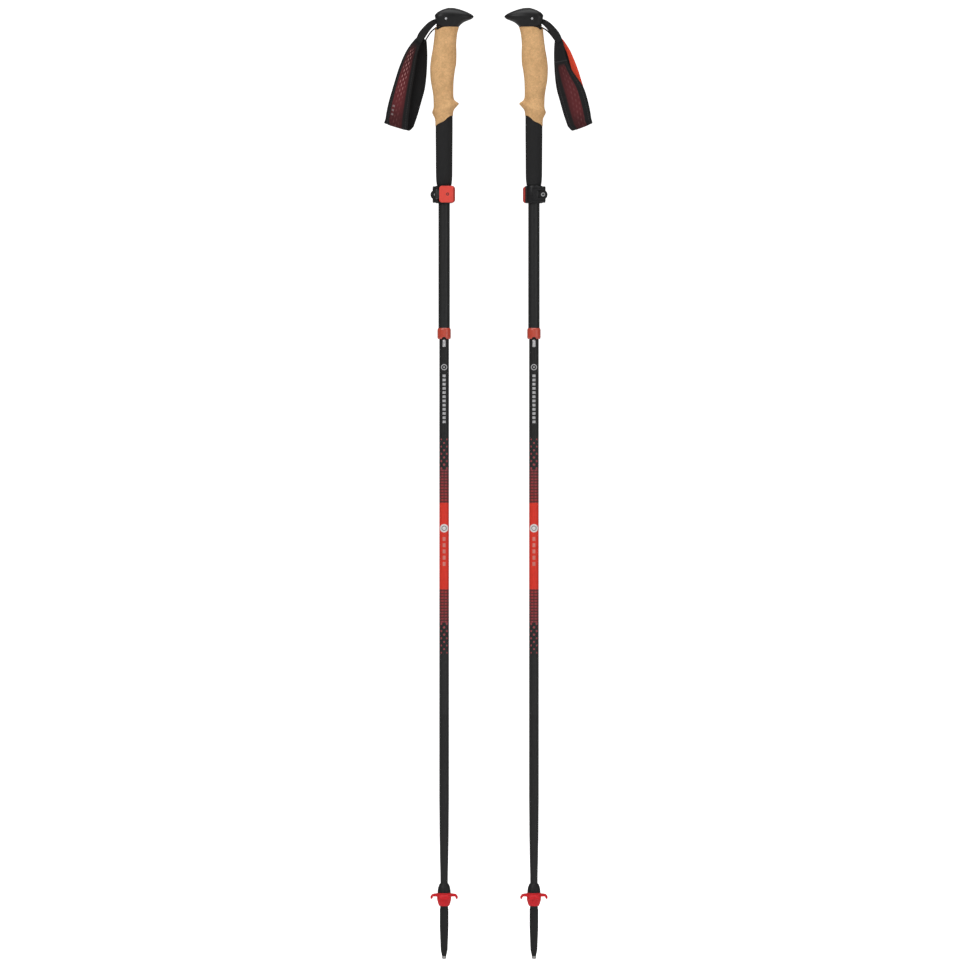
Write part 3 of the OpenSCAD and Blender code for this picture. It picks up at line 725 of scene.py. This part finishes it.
def material_named(name):
    """The finish of a name, made the first time that it is asked for."""
    found = bpy.data.materials.get(f"{name}_finish")
    if found:
        return found
    colours = bpy.context.scene.pole_colours
    sizes = bpy.context.scene.pole_sizes
    along = (1.0, 1.0, 0.06)
    makers = {
        "cap_plastic": lambda: plain_finish("cap_plastic", colours.cap, 2.5, 0.36, 0.12, 0.3, 0.05, specular=0.32),
        "cork": lambda: cork_finish(colours, sizes.cork_bump),
        "grip_foam": lambda: foam_finish(colours),
        "strap_padding": lambda: strap_finish(colours),
        "strap_lining": lambda: lining_finish(colours),
        "webbing_black": lambda: webbing_finish(colours),
        "tube_alloy": lambda: plain_finish(
            "tube_alloy", (0.32, 0.32, 0.33), 3.0, 0.35, 0.1, 0.2, 0.02, 1.0, stretch=along),
        "shaft_black": lambda: plain_finish(
            "shaft_black", colours.shaft, 1.5, 0.42, 0.12, 0.16, 0.015, 0.2, 0.4, (0.2, 0.2, 3.0)),
        "slider_print": lambda: slider_finish(colours),
        "shaft_printed": lambda: middle_finish(colours),
        "spigot_alloy": lambda: plain_finish(
            "spigot_alloy", (0.55, 0.55, 0.56), 3.0, 0.3, 0.1, 0.15, 0.02, 1.0, stretch=along),
        "clamp_plastic": lambda: plain_finish(
            "clamp_plastic", (0.0085, 0.0085, 0.0095), 2.0, 0.34, 0.1, 0.3, 0.04, specular=0.3),
        "lever_red": lambda: lever_finish(colours),
        "collar_red": lambda: plain_finish("collar_red", colours.collar, 1.5, 0.30, 0.1, 0.15, 0.02, coat=0.6),
        "pin_steel": lambda: plain_finish("pin_steel", (0.60, 0.60, 0.61), 3.0, 0.28, 0.1, 0.1, 0.01, 1.0),
        "screw_steel": lambda: plain_finish("screw_steel", (0.46, 0.46, 0.465), 3.0, 0.4, 0.1, 0.2, 0.02, 1.0),
        "button_steel": lambda: plain_finish("button_steel", (0.62, 0.62, 0.63), 3.0, 0.38, 0.1, 0.1, 0.01, 1.0),
        "nylon_black": lambda: plain_finish("nylon_black", (0.016, 0.016, 0.017), 2.0, 0.5, 0.1, 0.3, 0.04),
        "cord_cover": lambda: plain_finish(
            "cord_cover", (0.25, 0.25, 0.26), 3.0, 0.8, 0.1, 0.6, 0.1, stretch=(1.0, 1.0, 0.4)),
        "tip_plastic": lambda: plain_finish(
            "tip_plastic", colours.tip, 2.0, 0.46, 0.12, 0.35, 0.05, specular=0.3),
        "hard_tip_metal": lambda: plain_finish("hard_tip_metal", (0.42, 0.41, 0.40), 2.5, 0.38, 0.15, 0.3, 0.04, 1.0),
        "basket_red": lambda: plain_finish(
            "basket_red", colours.basket, 1.6, 0.46, 0.12, 0.14, 0.04, specular=0.3),
    }
    return makers[name]()


# ---------------------------------------------------------------- the pieces


class PieceOperator(bpy.types.Operator):
    """A step that makes or finishes pieces on both poles."""

    bl_options = {"REGISTER"}

    def execute(self, context):
        for side in SIDES:
            self.build(side, context.scene.pole_sizes)
        return {"FINISHED"}


def rounded_cutter(low, high, radius):
    """A block with round edges, in a pole's own millimetres."""
    mesh = bmesh.new()
    bmesh.ops.create_cube(mesh, size=1)
    size = Vector(high) - Vector(low)
    bmesh.ops.scale(mesh, vec=size, verts=mesh.verts)
    bmesh.ops.translate(mesh, vec=(Vector(high) + Vector(low)) / 2, verts=mesh.verts)
    bmesh.ops.bevel(
        mesh, geom=list(mesh.edges), offset=radius, segments=4, profile=0.5, affect="EDGES", material=-1
    )
    return mesh


def cut(piece, cutter):
    """Cuts one closed object out of another, and removes the cutter."""
    modifier = piece.modifiers.new("Cut", "BOOLEAN")
    modifier.object = cutter
    modifier.solver = "EXACT"
    keep_modifiers(piece)
    bpy.data.objects.remove(cutter)


class POLES_OT_head_cap(PieceOperator):
    """Makes the hard caps, with their beaks, strap slots and pin recesses"""

    bl_idname = "poles.head_cap"
    bl_label = "Head caps"

    def build(self, side, sizes):
        stations = [
            (0, 19.0, 9.9, 12.6), (3.5, 22.2, 11.0, 13.2), (6.4, 26.0, 11.7, 13.6), (8.6, 31.0, 12.2, 13.9),
            (10.4, 35.6, 12.6, 14.1), (12.2, 38.0, 12.8, 14.2), (13.9, 38.9, 12.8, 14.2),
            (15.7, 37.7, 12.2, 13.9), (17.4, 35.2, 11.0, 13.4), (19.1, 32.0, 9.2, 12.6),
            (20.6, 28.6, 7.0, 11.4), (22.1, 24.8, 4.4, 9.8), (23.5, 20.6, 1.2, 7.6), (24.6, 16.4, -2.2, 4.9),
            (25.2, 13.4, -4.4, 2.9), (25.45, 11.0, -6.0, 1.2),
        ]
        skirt = [(drop, 19.2, 12.4, 12.95) for drop in (-3.7, -2.0, -0.1)]
        rings = skirt + spline(stations, 4)

        def point(ring, share):
            if ring[0] < 0:
                # a skirt that hangs a little way down the back of the cork
                spot = egg_point(math.tau * share, CAP_Z, *ring[1:])
                spot.x = max(spot.x, -10.4)
                spot.z += ring[0] * (1 - ease(spot.x, -8.2, -3.4)) - 0.02
                return spot
            squareness = 1 - 0.42 * ease(ring[0], 0, 4) * (1 - ease(ring[0], 19, 25))
            return egg_point(math.tau * share, CAP_Z + ring[0], *ring[1:], squareness)

        mesh = bmesh.new()
        skin(mesh, rings, 72, point)
        piece = new_piece(f"{side}_cap", mesh, place(side), [material_named("cap_plastic")])
        slot_mesh = rounded_cutter((-24, -8.5, CROWN - 23), (6, 8.5, CROWN - 11), 1.5)
        cut(piece, new_piece("cutter", slot_mesh, place(side), []))
        for y, radius, depth in ((17, 2.7, 8), (-17, 2.7, 8), (0, 1.6, 40)):
            recess = bmesh.new()
            aim = Matrix.Translation((2.5, y, CROWN - 15)) @ Matrix.Rotation(math.pi / 2, 4, "X")
            bmesh.ops.create_cone(
                recess, cap_ends=True, segments=40, radius1=radius, radius2=radius, depth=depth, matrix=aim
            )
            cut(piece, new_piece("cutter", recess, place(side), []))
        sharpen(piece, 40)
        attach(piece, f"{side}_handle")
        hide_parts(f"{side}_head_cap")


SEAM = spline([
    (-14, -10.5), (-11, -8.7), (-8, -6.6), (-5, -5.2), (-2, -4.0), (1, -2.2), (4, 1.0), (7, 3.2), (10, 4.4),
    (13, 5.2),
], 6)


def seam_height(x):
    """Height of the S-shaped seam between cork and foam."""
    return CROWN - 146.5 + read(SEAM, x)


class POLES_OT_cork_grip(PieceOperator):
    """Makes the cork grips, with the finger ridge that rises to a small horn in front"""

    bl_idname = "poles.cork_grip"
    bl_label = "Cork grips"

    # height below the crown, reach in front, reach behind and half width, without the ridge
    base = spline([
        (-160, 11.4, 11.6, 11.3), (-147.5, 11.4, 11.8, 11.4), (-140, 11.8, 13.0, 11.8), (-134, 12.0, 13.6, 12.1),
        (-126.4, 12.3, 13.9, 12.2), (-116, 12.2, 14.3, 12.0), (-108, 12.2, 15.5, 12.2), (-95, 12.7, 17.7, 12.9),
        (-82, 14.3, 18.4, 13.3), (-74, 15.8, 18.1, 13.3), (-63.4, 16.3, 16.7, 13.1), (-55.5, 16.2, 15.2, 12.8),
        (-47.6, 16.0, 14.1, 12.5), (-34.4, 17.2, 12.6, 12.4), (-25.5, 19.6, 12.0, 12.6),
    ], 5)
    # offset from the ridge's line, bump of the horn and bump of the plain ridge
    ridge = spline([
        (-16, 0.0, 0.0), (-11.9, 0.0, 0.0), (-7.9, 0.9, 0.2), (-5.3, 2.8, 0.8), (-2.4, 5.2, 1.8), (0, 7.1, 2.5),
        (1.2, 6.7, 2.4), (2.4, 5.0, 2.0), (4.2, 2.5, 1.2), (6.6, 0.8, 0.4), (10.4, 0.1, 0.0), (14, 0.0, 0.0),
    ], 4)

    def surface(self, share, level):
        turn = math.tau * share
        facing = math.cos(turn)
        low = seam_height(egg_point(turn, 0, 11.4, 11.6, 11.3).x)
        height = low + (CAP_Z - low) * level
        below = height - CROWN
        off = below + 138.3 - 11.9 * (1 + facing) / 2
        horn = max(facing, 0) ** 4
        bump = horn * read(self.ridge, off, 1) + (1 - horn) * read(self.ridge, off, 2)
        front = read(self.base, below, 1) + bump
        rear = read(self.base, below, 2) + bump
        return egg_point(turn, height, front, rear, read(self.base, below, 3) + bump)

    def build(self, side, sizes):
        count = 150
        levels = [("outer", i / count) for i in range(count + 1)] + [("bore", 1.0), ("bore", 0.0)]

        def point(level, share):
            if level[0] == "outer":
                return self.surface(share, level[1])
            turn = math.tau * share
            height = self.surface(share, level[1]).z
            return Vector((GRIP_BORE * math.cos(turn), GRIP_BORE * math.sin(turn), height))

        mesh = bmesh.new()
        skin(mesh, levels, 96, point, "join")
        piece = new_piece(f"{side}_cork", mesh, place(side), [material_named("cork")])
        sharpen(piece, 50)
        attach(piece, f"{side}_handle")
        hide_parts(f"{side}_cork_grip")


class POLES_OT_foam_extension(PieceOperator):
    """Makes the long foam sleeves under the cork"""

    bl_idname = "poles.foam_extension"
    bl_label = "Foam extensions"

    def build(self, side, sizes):
        profile = spline([
            (0.0, 9.2), (0.8, 9.6), (4.5, 10.2), (10.0, 10.65), (19.0, 10.85), (45.0, 11.0), (73.0, 11.2),
            (80.0, 11.2), (96.0, 11.2),
        ], 4)
        height_of = profile[-1][0]
        levels = [("outer", row) for row in profile] + [("bore", profile[-1]), ("bore", profile[0])]

        def point(level, share):
            turn = math.tau * share
            kind, (rise, radius) = level
            top = seam_height(11.5 * math.cos(turn)) - FOAM_LOW
            height = FOAM_LOW + rise * (1 + (top / height_of - 1) * ease(rise, 40, height_of))
            radius = radius if kind == "outer" else GRIP_BORE
            return Vector((radius * math.cos(turn), radius * math.sin(turn), height))

        mesh = bmesh.new()
        skin(mesh, levels, 96, point, "join")
        piece = new_piece(f"{side}_foam", mesh, place(side), [material_named("grip_foam")])
        sharpen(piece, 50)
        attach(piece, f"{side}_handle")
        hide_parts(f"{side}_foam_extension")


# The strap is one long pad. Each row is a place down one layer, from 0 at its sewn top to 1 at the
# fold, and the X and Z of its two edges.
FRONT_LAYER = spline([
    (0.00, -34.6, CROWN - 38.0, -25.6, CROWN - 41.0), (0.08, -40.6, CROWN - 44.0, -31.6, CROWN - 50.0),
    (0.20, -50.0, CROWN - 57.5, -36.0, CROWN - 66.0), (0.35, -58.2, CROWN - 76.0, -38.4, CROWN - 84.0),
    (0.52, -64.4, CROWN - 95.0, -41.8, CROWN - 104.0), (0.70, -70.2, CROWN - 115.0, -44.4, CROWN - 124.0),
    (0.86, -74.6, CROWN - 133.0, -46.6, CROWN - 143.0), (1.00, -77.0, CROWN - 146.0, -47.6, CROWN - 157.0),
], 6)
BACK_LAYER = spline([
    (0.00, -34.0, CROWN - 38.5, -23.2, CROWN - 42.0), (0.08, -38.8, CROWN - 45.5, -22.4, CROWN - 50.0),
    (0.20, -42.6, CROWN - 61.0, -22.0, CROWN - 63.5), (0.33, -48.6, CROWN - 77.0, -22.6, CROWN - 81.0),
    (0.44, -57.8, CROWN - 91.0, -23.8, CROWN - 95.5), (0.56, -66.6, CROWN - 104.0, -25.8, CROWN - 108.5),
    (0.70, -71.6, CROWN - 118.0, -29.8, CROWN - 123.0), (0.86, -75.4, CROWN - 134.0, -34.6, CROWN - 140.0),
    (1.00, -77.4, CROWN - 146.5, -40.0, CROWN - 156.0),
], 6)
# How far in the outer edges sit, and how far out the inner edges of the back layer sit, on each pole.
STRAP_SHIFT = {"left": (0.0, 0.0), "right": (1.8, 4.2)}


def strap_edges(row, shift):
    """The two edge points of a row of one layer, in X and Z, moved by the pole's own shifts."""
    return Vector((row[1] + shift[0] * ease(row[0], 0, 0.3), 0, row[2])), Vector((row[3] - shift[1], 0, row[4]))


class POLES_OT_strap_band(PieceOperator):
    """Makes the padded wrist straps, folded at the bottom and sewn together at the top"""

    bl_idname = "poles.strap_band"
    bl_label = "Padded straps"

    def stations(self, sizes, shift):
        """Rows down the front layer, round the fold and up the back layer: both edge points, the
        outward direction and the length so far."""
        centre = 3.5 + sizes.pad_thickness / 2
        rows = []
        for row in FRONT_LAYER:
            outer, inner = strap_edges(row, shift)
            rise = min(row[0] / 0.14, 1)
            y = -centre * (0.52 + 0.48 * ease(rise, 0, 1))
            rows.append([outer + Vector((0, y, 0)), inner + Vector((0, y, 0)), Vector((0, -1, 0))])
        down = Vector((-0.34, 0, -0.94))
        front_end = strap_edges(FRONT_LAYER[-1], shift)
        back_end = strap_edges(BACK_LAYER[-1], shift)
        for step in range(1, 12):
            turn = math.pi * step / 12
            share = step / 12
            away = Vector((0, -math.cos(turn), 0)) + down * math.sin(turn)
            ends = [a.lerp(b, share) + away * centre for a, b in zip(front_end, back_end)]
            rows.append([*ends, away])
        for row in reversed(BACK_LAYER):
            outer, inner = strap_edges(row, shift)
            y = centre * (0.52 + 0.48 * ease(min(row[0] / 0.14, 1), 0, 1))
            rows.append([outer + Vector((0, y, 0)), inner + Vector((0, y, 0)), Vector((0, 1, 0))])
        length = 0.0
        for number, row in enumerate(rows):
            middle = (row[0] + row[1]) / 2
            if number:
                length += (middle - before).length
            before = middle
            row.append(length)
        return rows

    def build(self, side, sizes):
        rows = self.stations(sizes, STRAP_SHIFT[side])
        total = rows[-1][3]
        half_face = [0.0, 0.004, 0.012, 0.03, 0.06, 0.09, 0.112, 0.128, 0.142, 0.156, 0.18, 0.24, 0.32, 0.41, 0.5]
        across = half_face + [1 - part for part in reversed(half_face[:-1])]
        ring = [(part, 1) for part in across] + [(part, -1) for part in reversed(across[1:-1])]

        def point(row, share):
            part, face = ring[round(share * len(ring)) % len(ring)]
            outer, inner, away, length = row
            width = (inner - outer).length
            near = min(part, 1 - part) * width
            round_off = math.sqrt(1 - (1 - min(near / 1.5, 1)) ** 2)
            crown = 0.55 + 0.45 * ease(min(part, 1 - part), 0.0, 0.3)
            seam = 0.3 * math.exp(-((near - 4.4) / 0.7) ** 2)
            end = ease(min(length, total - length), 0, 3)
            half = (sizes.pad_thickness / 2 * crown * (0.45 + 0.55 * end) - seam) * round_off
            return outer.lerp(inner, part) + away * face * max(half, 0.02)

        mesh = bmesh.new()
        skin(mesh, rows, len(ring), point)
        share = mesh.verts.layers.float["share"]
        height = mesh.verts.layers.float["height"]
        strap_map = mesh.loops.layers.uv.new("strap")
        for face in mesh.faces:
            facing = []
            for loop in face.loops:
                part, side_of_pad = ring[round(loop.vert[share] * len(ring)) % len(ring)]
                row = rows[round(loop.vert[height] * (len(rows) - 1))]
                loop[strap_map].uv = (part, row[3] * MM)
                facing.append(side_of_pad if 0.01 < part < 0.99 else 0)
            face.material_index = 1 if sum(facing) < -1 else 0
        finishes = [material_named("strap_padding"), material_named("strap_lining")]
        piece = new_piece(f"{side}_wrist_strap", mesh, place(side), finishes)
        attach(piece, f"{side}_strap")
        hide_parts(f"{side}_strap_band")


class POLES_OT_webbing(PieceOperator):
    """Makes the two ends of webbing between each cap and its padded strap"""

    bl_idname = "poles.webbing"
    bl_label = "Strap webbing"

    # X, height below the crown and half thickness along each run of webbing
    upper = spline([
        (-3.0, -16.6, 1.6), (-8.0, -17.0, 2.2), (-13.0, -18.8, 3.2), (-18.8, -23.2, 4.0), (-24.4, -29.4, 4.5),
        (-29.4, -36.4, 4.9), (-34.2, -44.6, 3.8),
    ], 6)
    lower = spline([
        (-8.0, -25.4, 0.6), (-11.0, -26.6, 0.6), (-14.2, -28.8, 0.65), (-17.4, -32.0, 0.7), (-20.4, -36.2, 0.7),
        (-23.4, -41.0, 0.7), (-26.4, -46.0, 0.6),
    ], 6)

    def ribbon(self, name, side, run, width, shift, start, end):
        """One flat run of webbing that bends where the strap swings. Shift moves its foot out."""
        profile = [(-1, -0.7), (-0.98, -1), (0.98, -1), (1, -0.7), (1, 0.7), (0.98, 1), (-0.98, 1), (-1, 0.7)]
        rows = []
        length = 0.0
        for number, (x, below, half) in enumerate(run):
            here = Vector((x - shift * number / len(run), 0, CROWN + below))
            next_row = run[min(number + 1, len(run) - 1)]
            last_row = run[max(number - 1, 0)]
            along = Vector((next_row[0] - last_row[0], 0, next_row[1] - last_row[1])).normalized()
            if number:
                length += (here - before).length
            before = here
            rows.append((here, Vector((along.z, 0, -along.x)), half, length))

        def point(row, share):
            y, face = profile[round(share * len(profile)) % len(profile)]
            here, away, half, _ = row
            return here + away * face * half + Vector((0, y * width / 2, 0))

        mesh = bmesh.new()
        skin(mesh, rows, len(profile), point)
        share = mesh.verts.layers.float["share"]
        height = mesh.verts.layers.float["height"]
        strap_map = mesh.loops.layers.uv.new("strap")
        for face in mesh.faces:
            for loop in face.loops:
                y, _ = profile[round(loop.vert[share] * len(profile)) % len(profile)]
                row = rows[round(loop.vert[height] * (len(rows) - 1))]
                loop[strap_map].uv = ((y + 1) / 2, row[3] * MM)
        where = place(side)
        piece = new_piece(name, mesh, where, [material_named("webbing_black")])
        sharpen(piece, 40)
        cut_width = width + 2 * sum(row[2] for row in run) / len(run)    # half of the way round it
        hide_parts(f"{side}_strap_webbing")
        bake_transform(piece, f"{side}_handle", f"{side}_strap", tuple(where @ Vector(start)), tuple(where @ Vector(end)))

    def build(self, side, sizes):
        self.ribbon(
            f"{side}_webbing_upper", side, self.upper, sizes.webbing_width, 0.0,
            (-11, 0, CROWN - 16), (-19, 0, CROWN - 22),
        )
        self.ribbon(
            f"{side}_webbing_lower", side, self.lower, sizes.webbing_width - 2, STRAP_SHIFT[side][1],
            (-11, 0, CROWN - 26), (-22, 0, CROWN - 39),
        )


class POLES_OT_release_button(PieceOperator):
    """Makes the rounded steel release buttons in the sliders"""

    bl_idname = "poles.release_button"
    bl_label = "Release buttons"

    def build(self, side, sizes):
        low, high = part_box(f"{side}_release_button")
        button_low = high.z / MM - 10
        mesh = rounded_cutter((-2.3, low.y / MM, button_low), (2.3, -4.2, high.z / MM), 1.6)
        piece = new_piece(f"{side}_button_face", mesh, place(side, False), [material_named("button_steel")])
        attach(piece, f"{side}_button")
        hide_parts(f"{side}_release_button")
        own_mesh(piece)


class POLES_OT_clamp_frame(PieceOperator):
    """Makes the raised frame round each clamp's tension screw"""

    bl_idname = "poles.clamp_frame"
    bl_label = "Clamp frames"

    def build(self, side, sizes):
        low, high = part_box(f"{side}_clamp_collar")
        bottom, top = low.z / MM, high.z / MM
        frame_mesh = rounded_cutter((-15.3, 6.8, bottom + 1.4), (2.6, 12.2, top - 1.4), 0.9)
        piece = new_piece(f"{side}_clamp_frame", frame_mesh, place(side), [material_named("clamp_plastic")])
        window = rounded_cutter((-14.4, 8.2, bottom + 6.4), (-3.6, 14, top - 6.4), 1.0)
        cut(piece, new_piece("cutter", window, place(side), []))
        for z in (bottom + 3.4, top - 3.4):
            groove = rounded_cutter((-16, 11.5, z - 0.45), (4, 14, z + 0.45), 0.2)
            cut(piece, new_piece("cutter", groove, place(side), []))
        bore = bmesh.new()
        aim = Matrix.Translation((0, 0, (bottom + top) / 2))
        bmesh.ops.create_cone(bore, cap_ends=True, segments=72, radius1=9.6, radius2=9.6, depth=40, matrix=aim)
        cut(piece, new_piece("cutter", bore, place(side), []))
        sharpen(piece, 35)
        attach(piece, f"{side}_handle")


FINISH_OF = {
    "strap_pin": "pin_steel", "strap_wedge": "nylon_black", "grip_tube": "tube_alloy",
    "clamp_collar": "clamp_plastic", "clamp_screw": "screw_steel", "lock_lever": "lever_red",
    "lever_pin": "pin_steel", "upper_shaft": "shaft_black", "shaft_bush": "nylon_black",
    "cord_anchor": "tube_alloy", "shaft_collar": "collar_red", "slider_tube": "slider_print",
    "slider_bush": "nylon_black", "middle_tube": "shaft_printed", "middle_spigot": "spigot_alloy",
    "middle_cone": "nylon_black", "middle_cord": "cord_cover", "lower_tube": "shaft_black",
    "lower_spigot": "spigot_alloy", "lower_cone": "nylon_black", "lower_cord": "cord_cover",
    "tip_housing": "tip_plastic", "hard_tip": "hard_tip_metal", "basket": "basket_red",
}
SOFT_EDGES = {"clamp_collar": 0.5, "lock_lever": 0.9, "basket": 0.5, "strap_wedge": 0.3}


class POLES_OT_hard_parts(PieceOperator):
    """Gives the shafts, clamps, joints, tips and baskets their finishes and soft edges"""

    bl_idname = "poles.hard_parts"
    bl_label = "Hard parts"

    def build(self, side, sizes):
        for part, finish in FINISH_OF.items():
            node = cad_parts[f"{side}_{part}"]
            node.data.materials.clear()
            node.data.materials.append(material_named(finish))
            if part in SOFT_EDGES:
                weld = node.modifiers.new("Weld", "WELD")
                weld.merge_threshold = 0.002 * MM
                bevel = node.modifiers.new("Soft edges", "BEVEL")
                bevel.width = SOFT_EDGES[part] * MM
                bevel.segments = 3
                bevel.limit_method = "ANGLE"
                bevel.angle_limit = math.radians(38)
                bevel.harden_normals = True


# ---------------------------------------------------------------- the studio


def area_light(name, place_at, target, size, power):
    """A soft square light that faces a target."""
    data = bpy.data.lights.new(name, "AREA")
    data.shape = "RECTANGLE"
    data.size, data.size_y = size
    data.energy = power
    light = bpy.data.objects.new(name, data)
    bpy.context.scene.collection.objects.link(light)
    light.location = place_at
    light.rotation_euler = (Vector(target) - Vector(place_at)).to_track_quat("-Z", "Y").to_euler()


class POLES_OT_studio(bpy.types.Operator):
    """Makes the pale floor and backdrop, the soft lights and the camera"""

    bl_idname = "poles.studio"
    bl_label = "Studio"

    def execute(self, context):
        sizes = context.scene.pole_sizes
        sweep = bmesh.new()
        turns = [math.radians(9 * step) for step in range(11)]
        bend = [(12 + 2 * math.sin(turn), 2 - 2 * math.cos(turn)) for turn in turns]
        profile = [(-16, 0), *bend, (14, 12)]
        line = [sweep.verts.new((-16, y, z)) for y, z in profile]
        edges = [sweep.edges.new(pair) for pair in zip(line, line[1:])]
        grown = bmesh.ops.extrude_edge_only(sweep, edges=edges)["geom"]
        moved = [part for part in grown if isinstance(part, bmesh.types.BMVert)]
        bmesh.ops.translate(sweep, vec=(32, 0, 0), verts=moved)
        bmesh.ops.recalc_face_normals(sweep, faces=sweep.faces)
        material, tree, shader = start_material("studio_paper", specular=0.1)
        shader.inputs["Base Color"].default_value = (0.92, 0.92, 0.92, 1)
        shader.inputs["Roughness"].default_value = 0.9
        shader.inputs["Emission Color"].default_value = (1, 1, 1, 1)
        seen = add_node(tree, "ShaderNodeLightPath").outputs["Is Camera Ray"]
        tree.links.new(fade(tree, seen, 0.0, 1.0, 0.12, 0.95), shader.inputs["Emission Strength"])
        floor = new_piece("studio_sweep", sweep, Matrix.Identity(4), [material])

        area_light("key", (-2.2, -3.2, 3.0), (0, 0, 0.9), (2.4, 2.4), 56)
        area_light("fill", (2.8, -2.8, 1.6), (0, 0, 0.6), (2.4, 2.4), 24)
        area_light("front", (0.0, -4.6, 0.9), (0, 0, 0.6), (1.2, 2.6), 8)
        area_light("top", (0, -0.4, 3.6), (0, 0, 0.4), (2.6, 2.6), 44)

        world = bpy.data.worlds.new("studio_air")
        world.use_nodes = True
        air = world.node_tree
        air.nodes["Background"].inputs["Color"].default_value = (1, 1, 1, 1)
        seen = add_node(air, "ShaderNodeLightPath").outputs["Is Camera Ray"]
        air.links.new(fade(air, seen, 0.0, 1.0, 0.2, 1.0), air.nodes["Background"].inputs["Strength"])
        context.scene.world = world
        context.scene.view_settings.view_transform = "Standard"

        camera_data = bpy.data.cameras.new("camera")
        camera_data.sensor_width = 36
        camera_data.lens = camera_data.sensor_width * sizes.camera_distance / sizes.field_width
        camera = bpy.data.objects.new("camera", camera_data)
        context.scene.collection.objects.link(camera)
        camera.location = (-0.002, -sizes.camera_distance, 0.6195)
        camera.rotation_euler = (math.pi / 2, 0, 0)
        context.scene.camera = camera
        return {"FINISHED"}


# ---------------------------------------------------------------- the add-on


STEPS = (
    POLES_OT_hard_parts,
    POLES_OT_head_cap,
    POLES_OT_cork_grip,
    POLES_OT_foam_extension,
    POLES_OT_strap_band,
    POLES_OT_webbing,
    POLES_OT_release_button,
    POLES_OT_clamp_frame,
    POLES_OT_studio,
)


class POLES_PT_panel(bpy.types.Panel):
    """Sizes, colours and the steps that build the poles."""

    bl_idname = "POLES_PT_panel"
    bl_label = "Trekking poles"
    bl_space_type = "VIEW_3D"
    bl_region_type = "UI"
    bl_category = "Poles"

    def draw(self, context):
        for group in (context.scene.pole_sizes, context.scene.pole_colours):
            for name in group.bl_rna.properties.keys():
                if name not in {"rna_type", "name"}:
                    self.layout.prop(group, name)
        for step in STEPS:
            self.layout.operator(step.bl_idname)


CLASSES = (PoleSizes, PoleColours, *STEPS, POLES_PT_panel)


def register():
    for made in CLASSES:
        bpy.utils.register_class(made)
    bpy.types.Scene.pole_sizes = PointerProperty(type=PoleSizes)
    bpy.types.Scene.pole_colours = PointerProperty(type=PoleColours)


def unregister():
    del bpy.types.Scene.pole_colours
    del bpy.types.Scene.pole_sizes
    for made in reversed(CLASSES):
        bpy.utils.unregister_class(made)


def main():
    register()
    for step in STEPS:
        family, name = step.bl_idname.split(".")
        getattr(getattr(bpy.ops, family), name)()


if __name__ == "__main__":
    main()
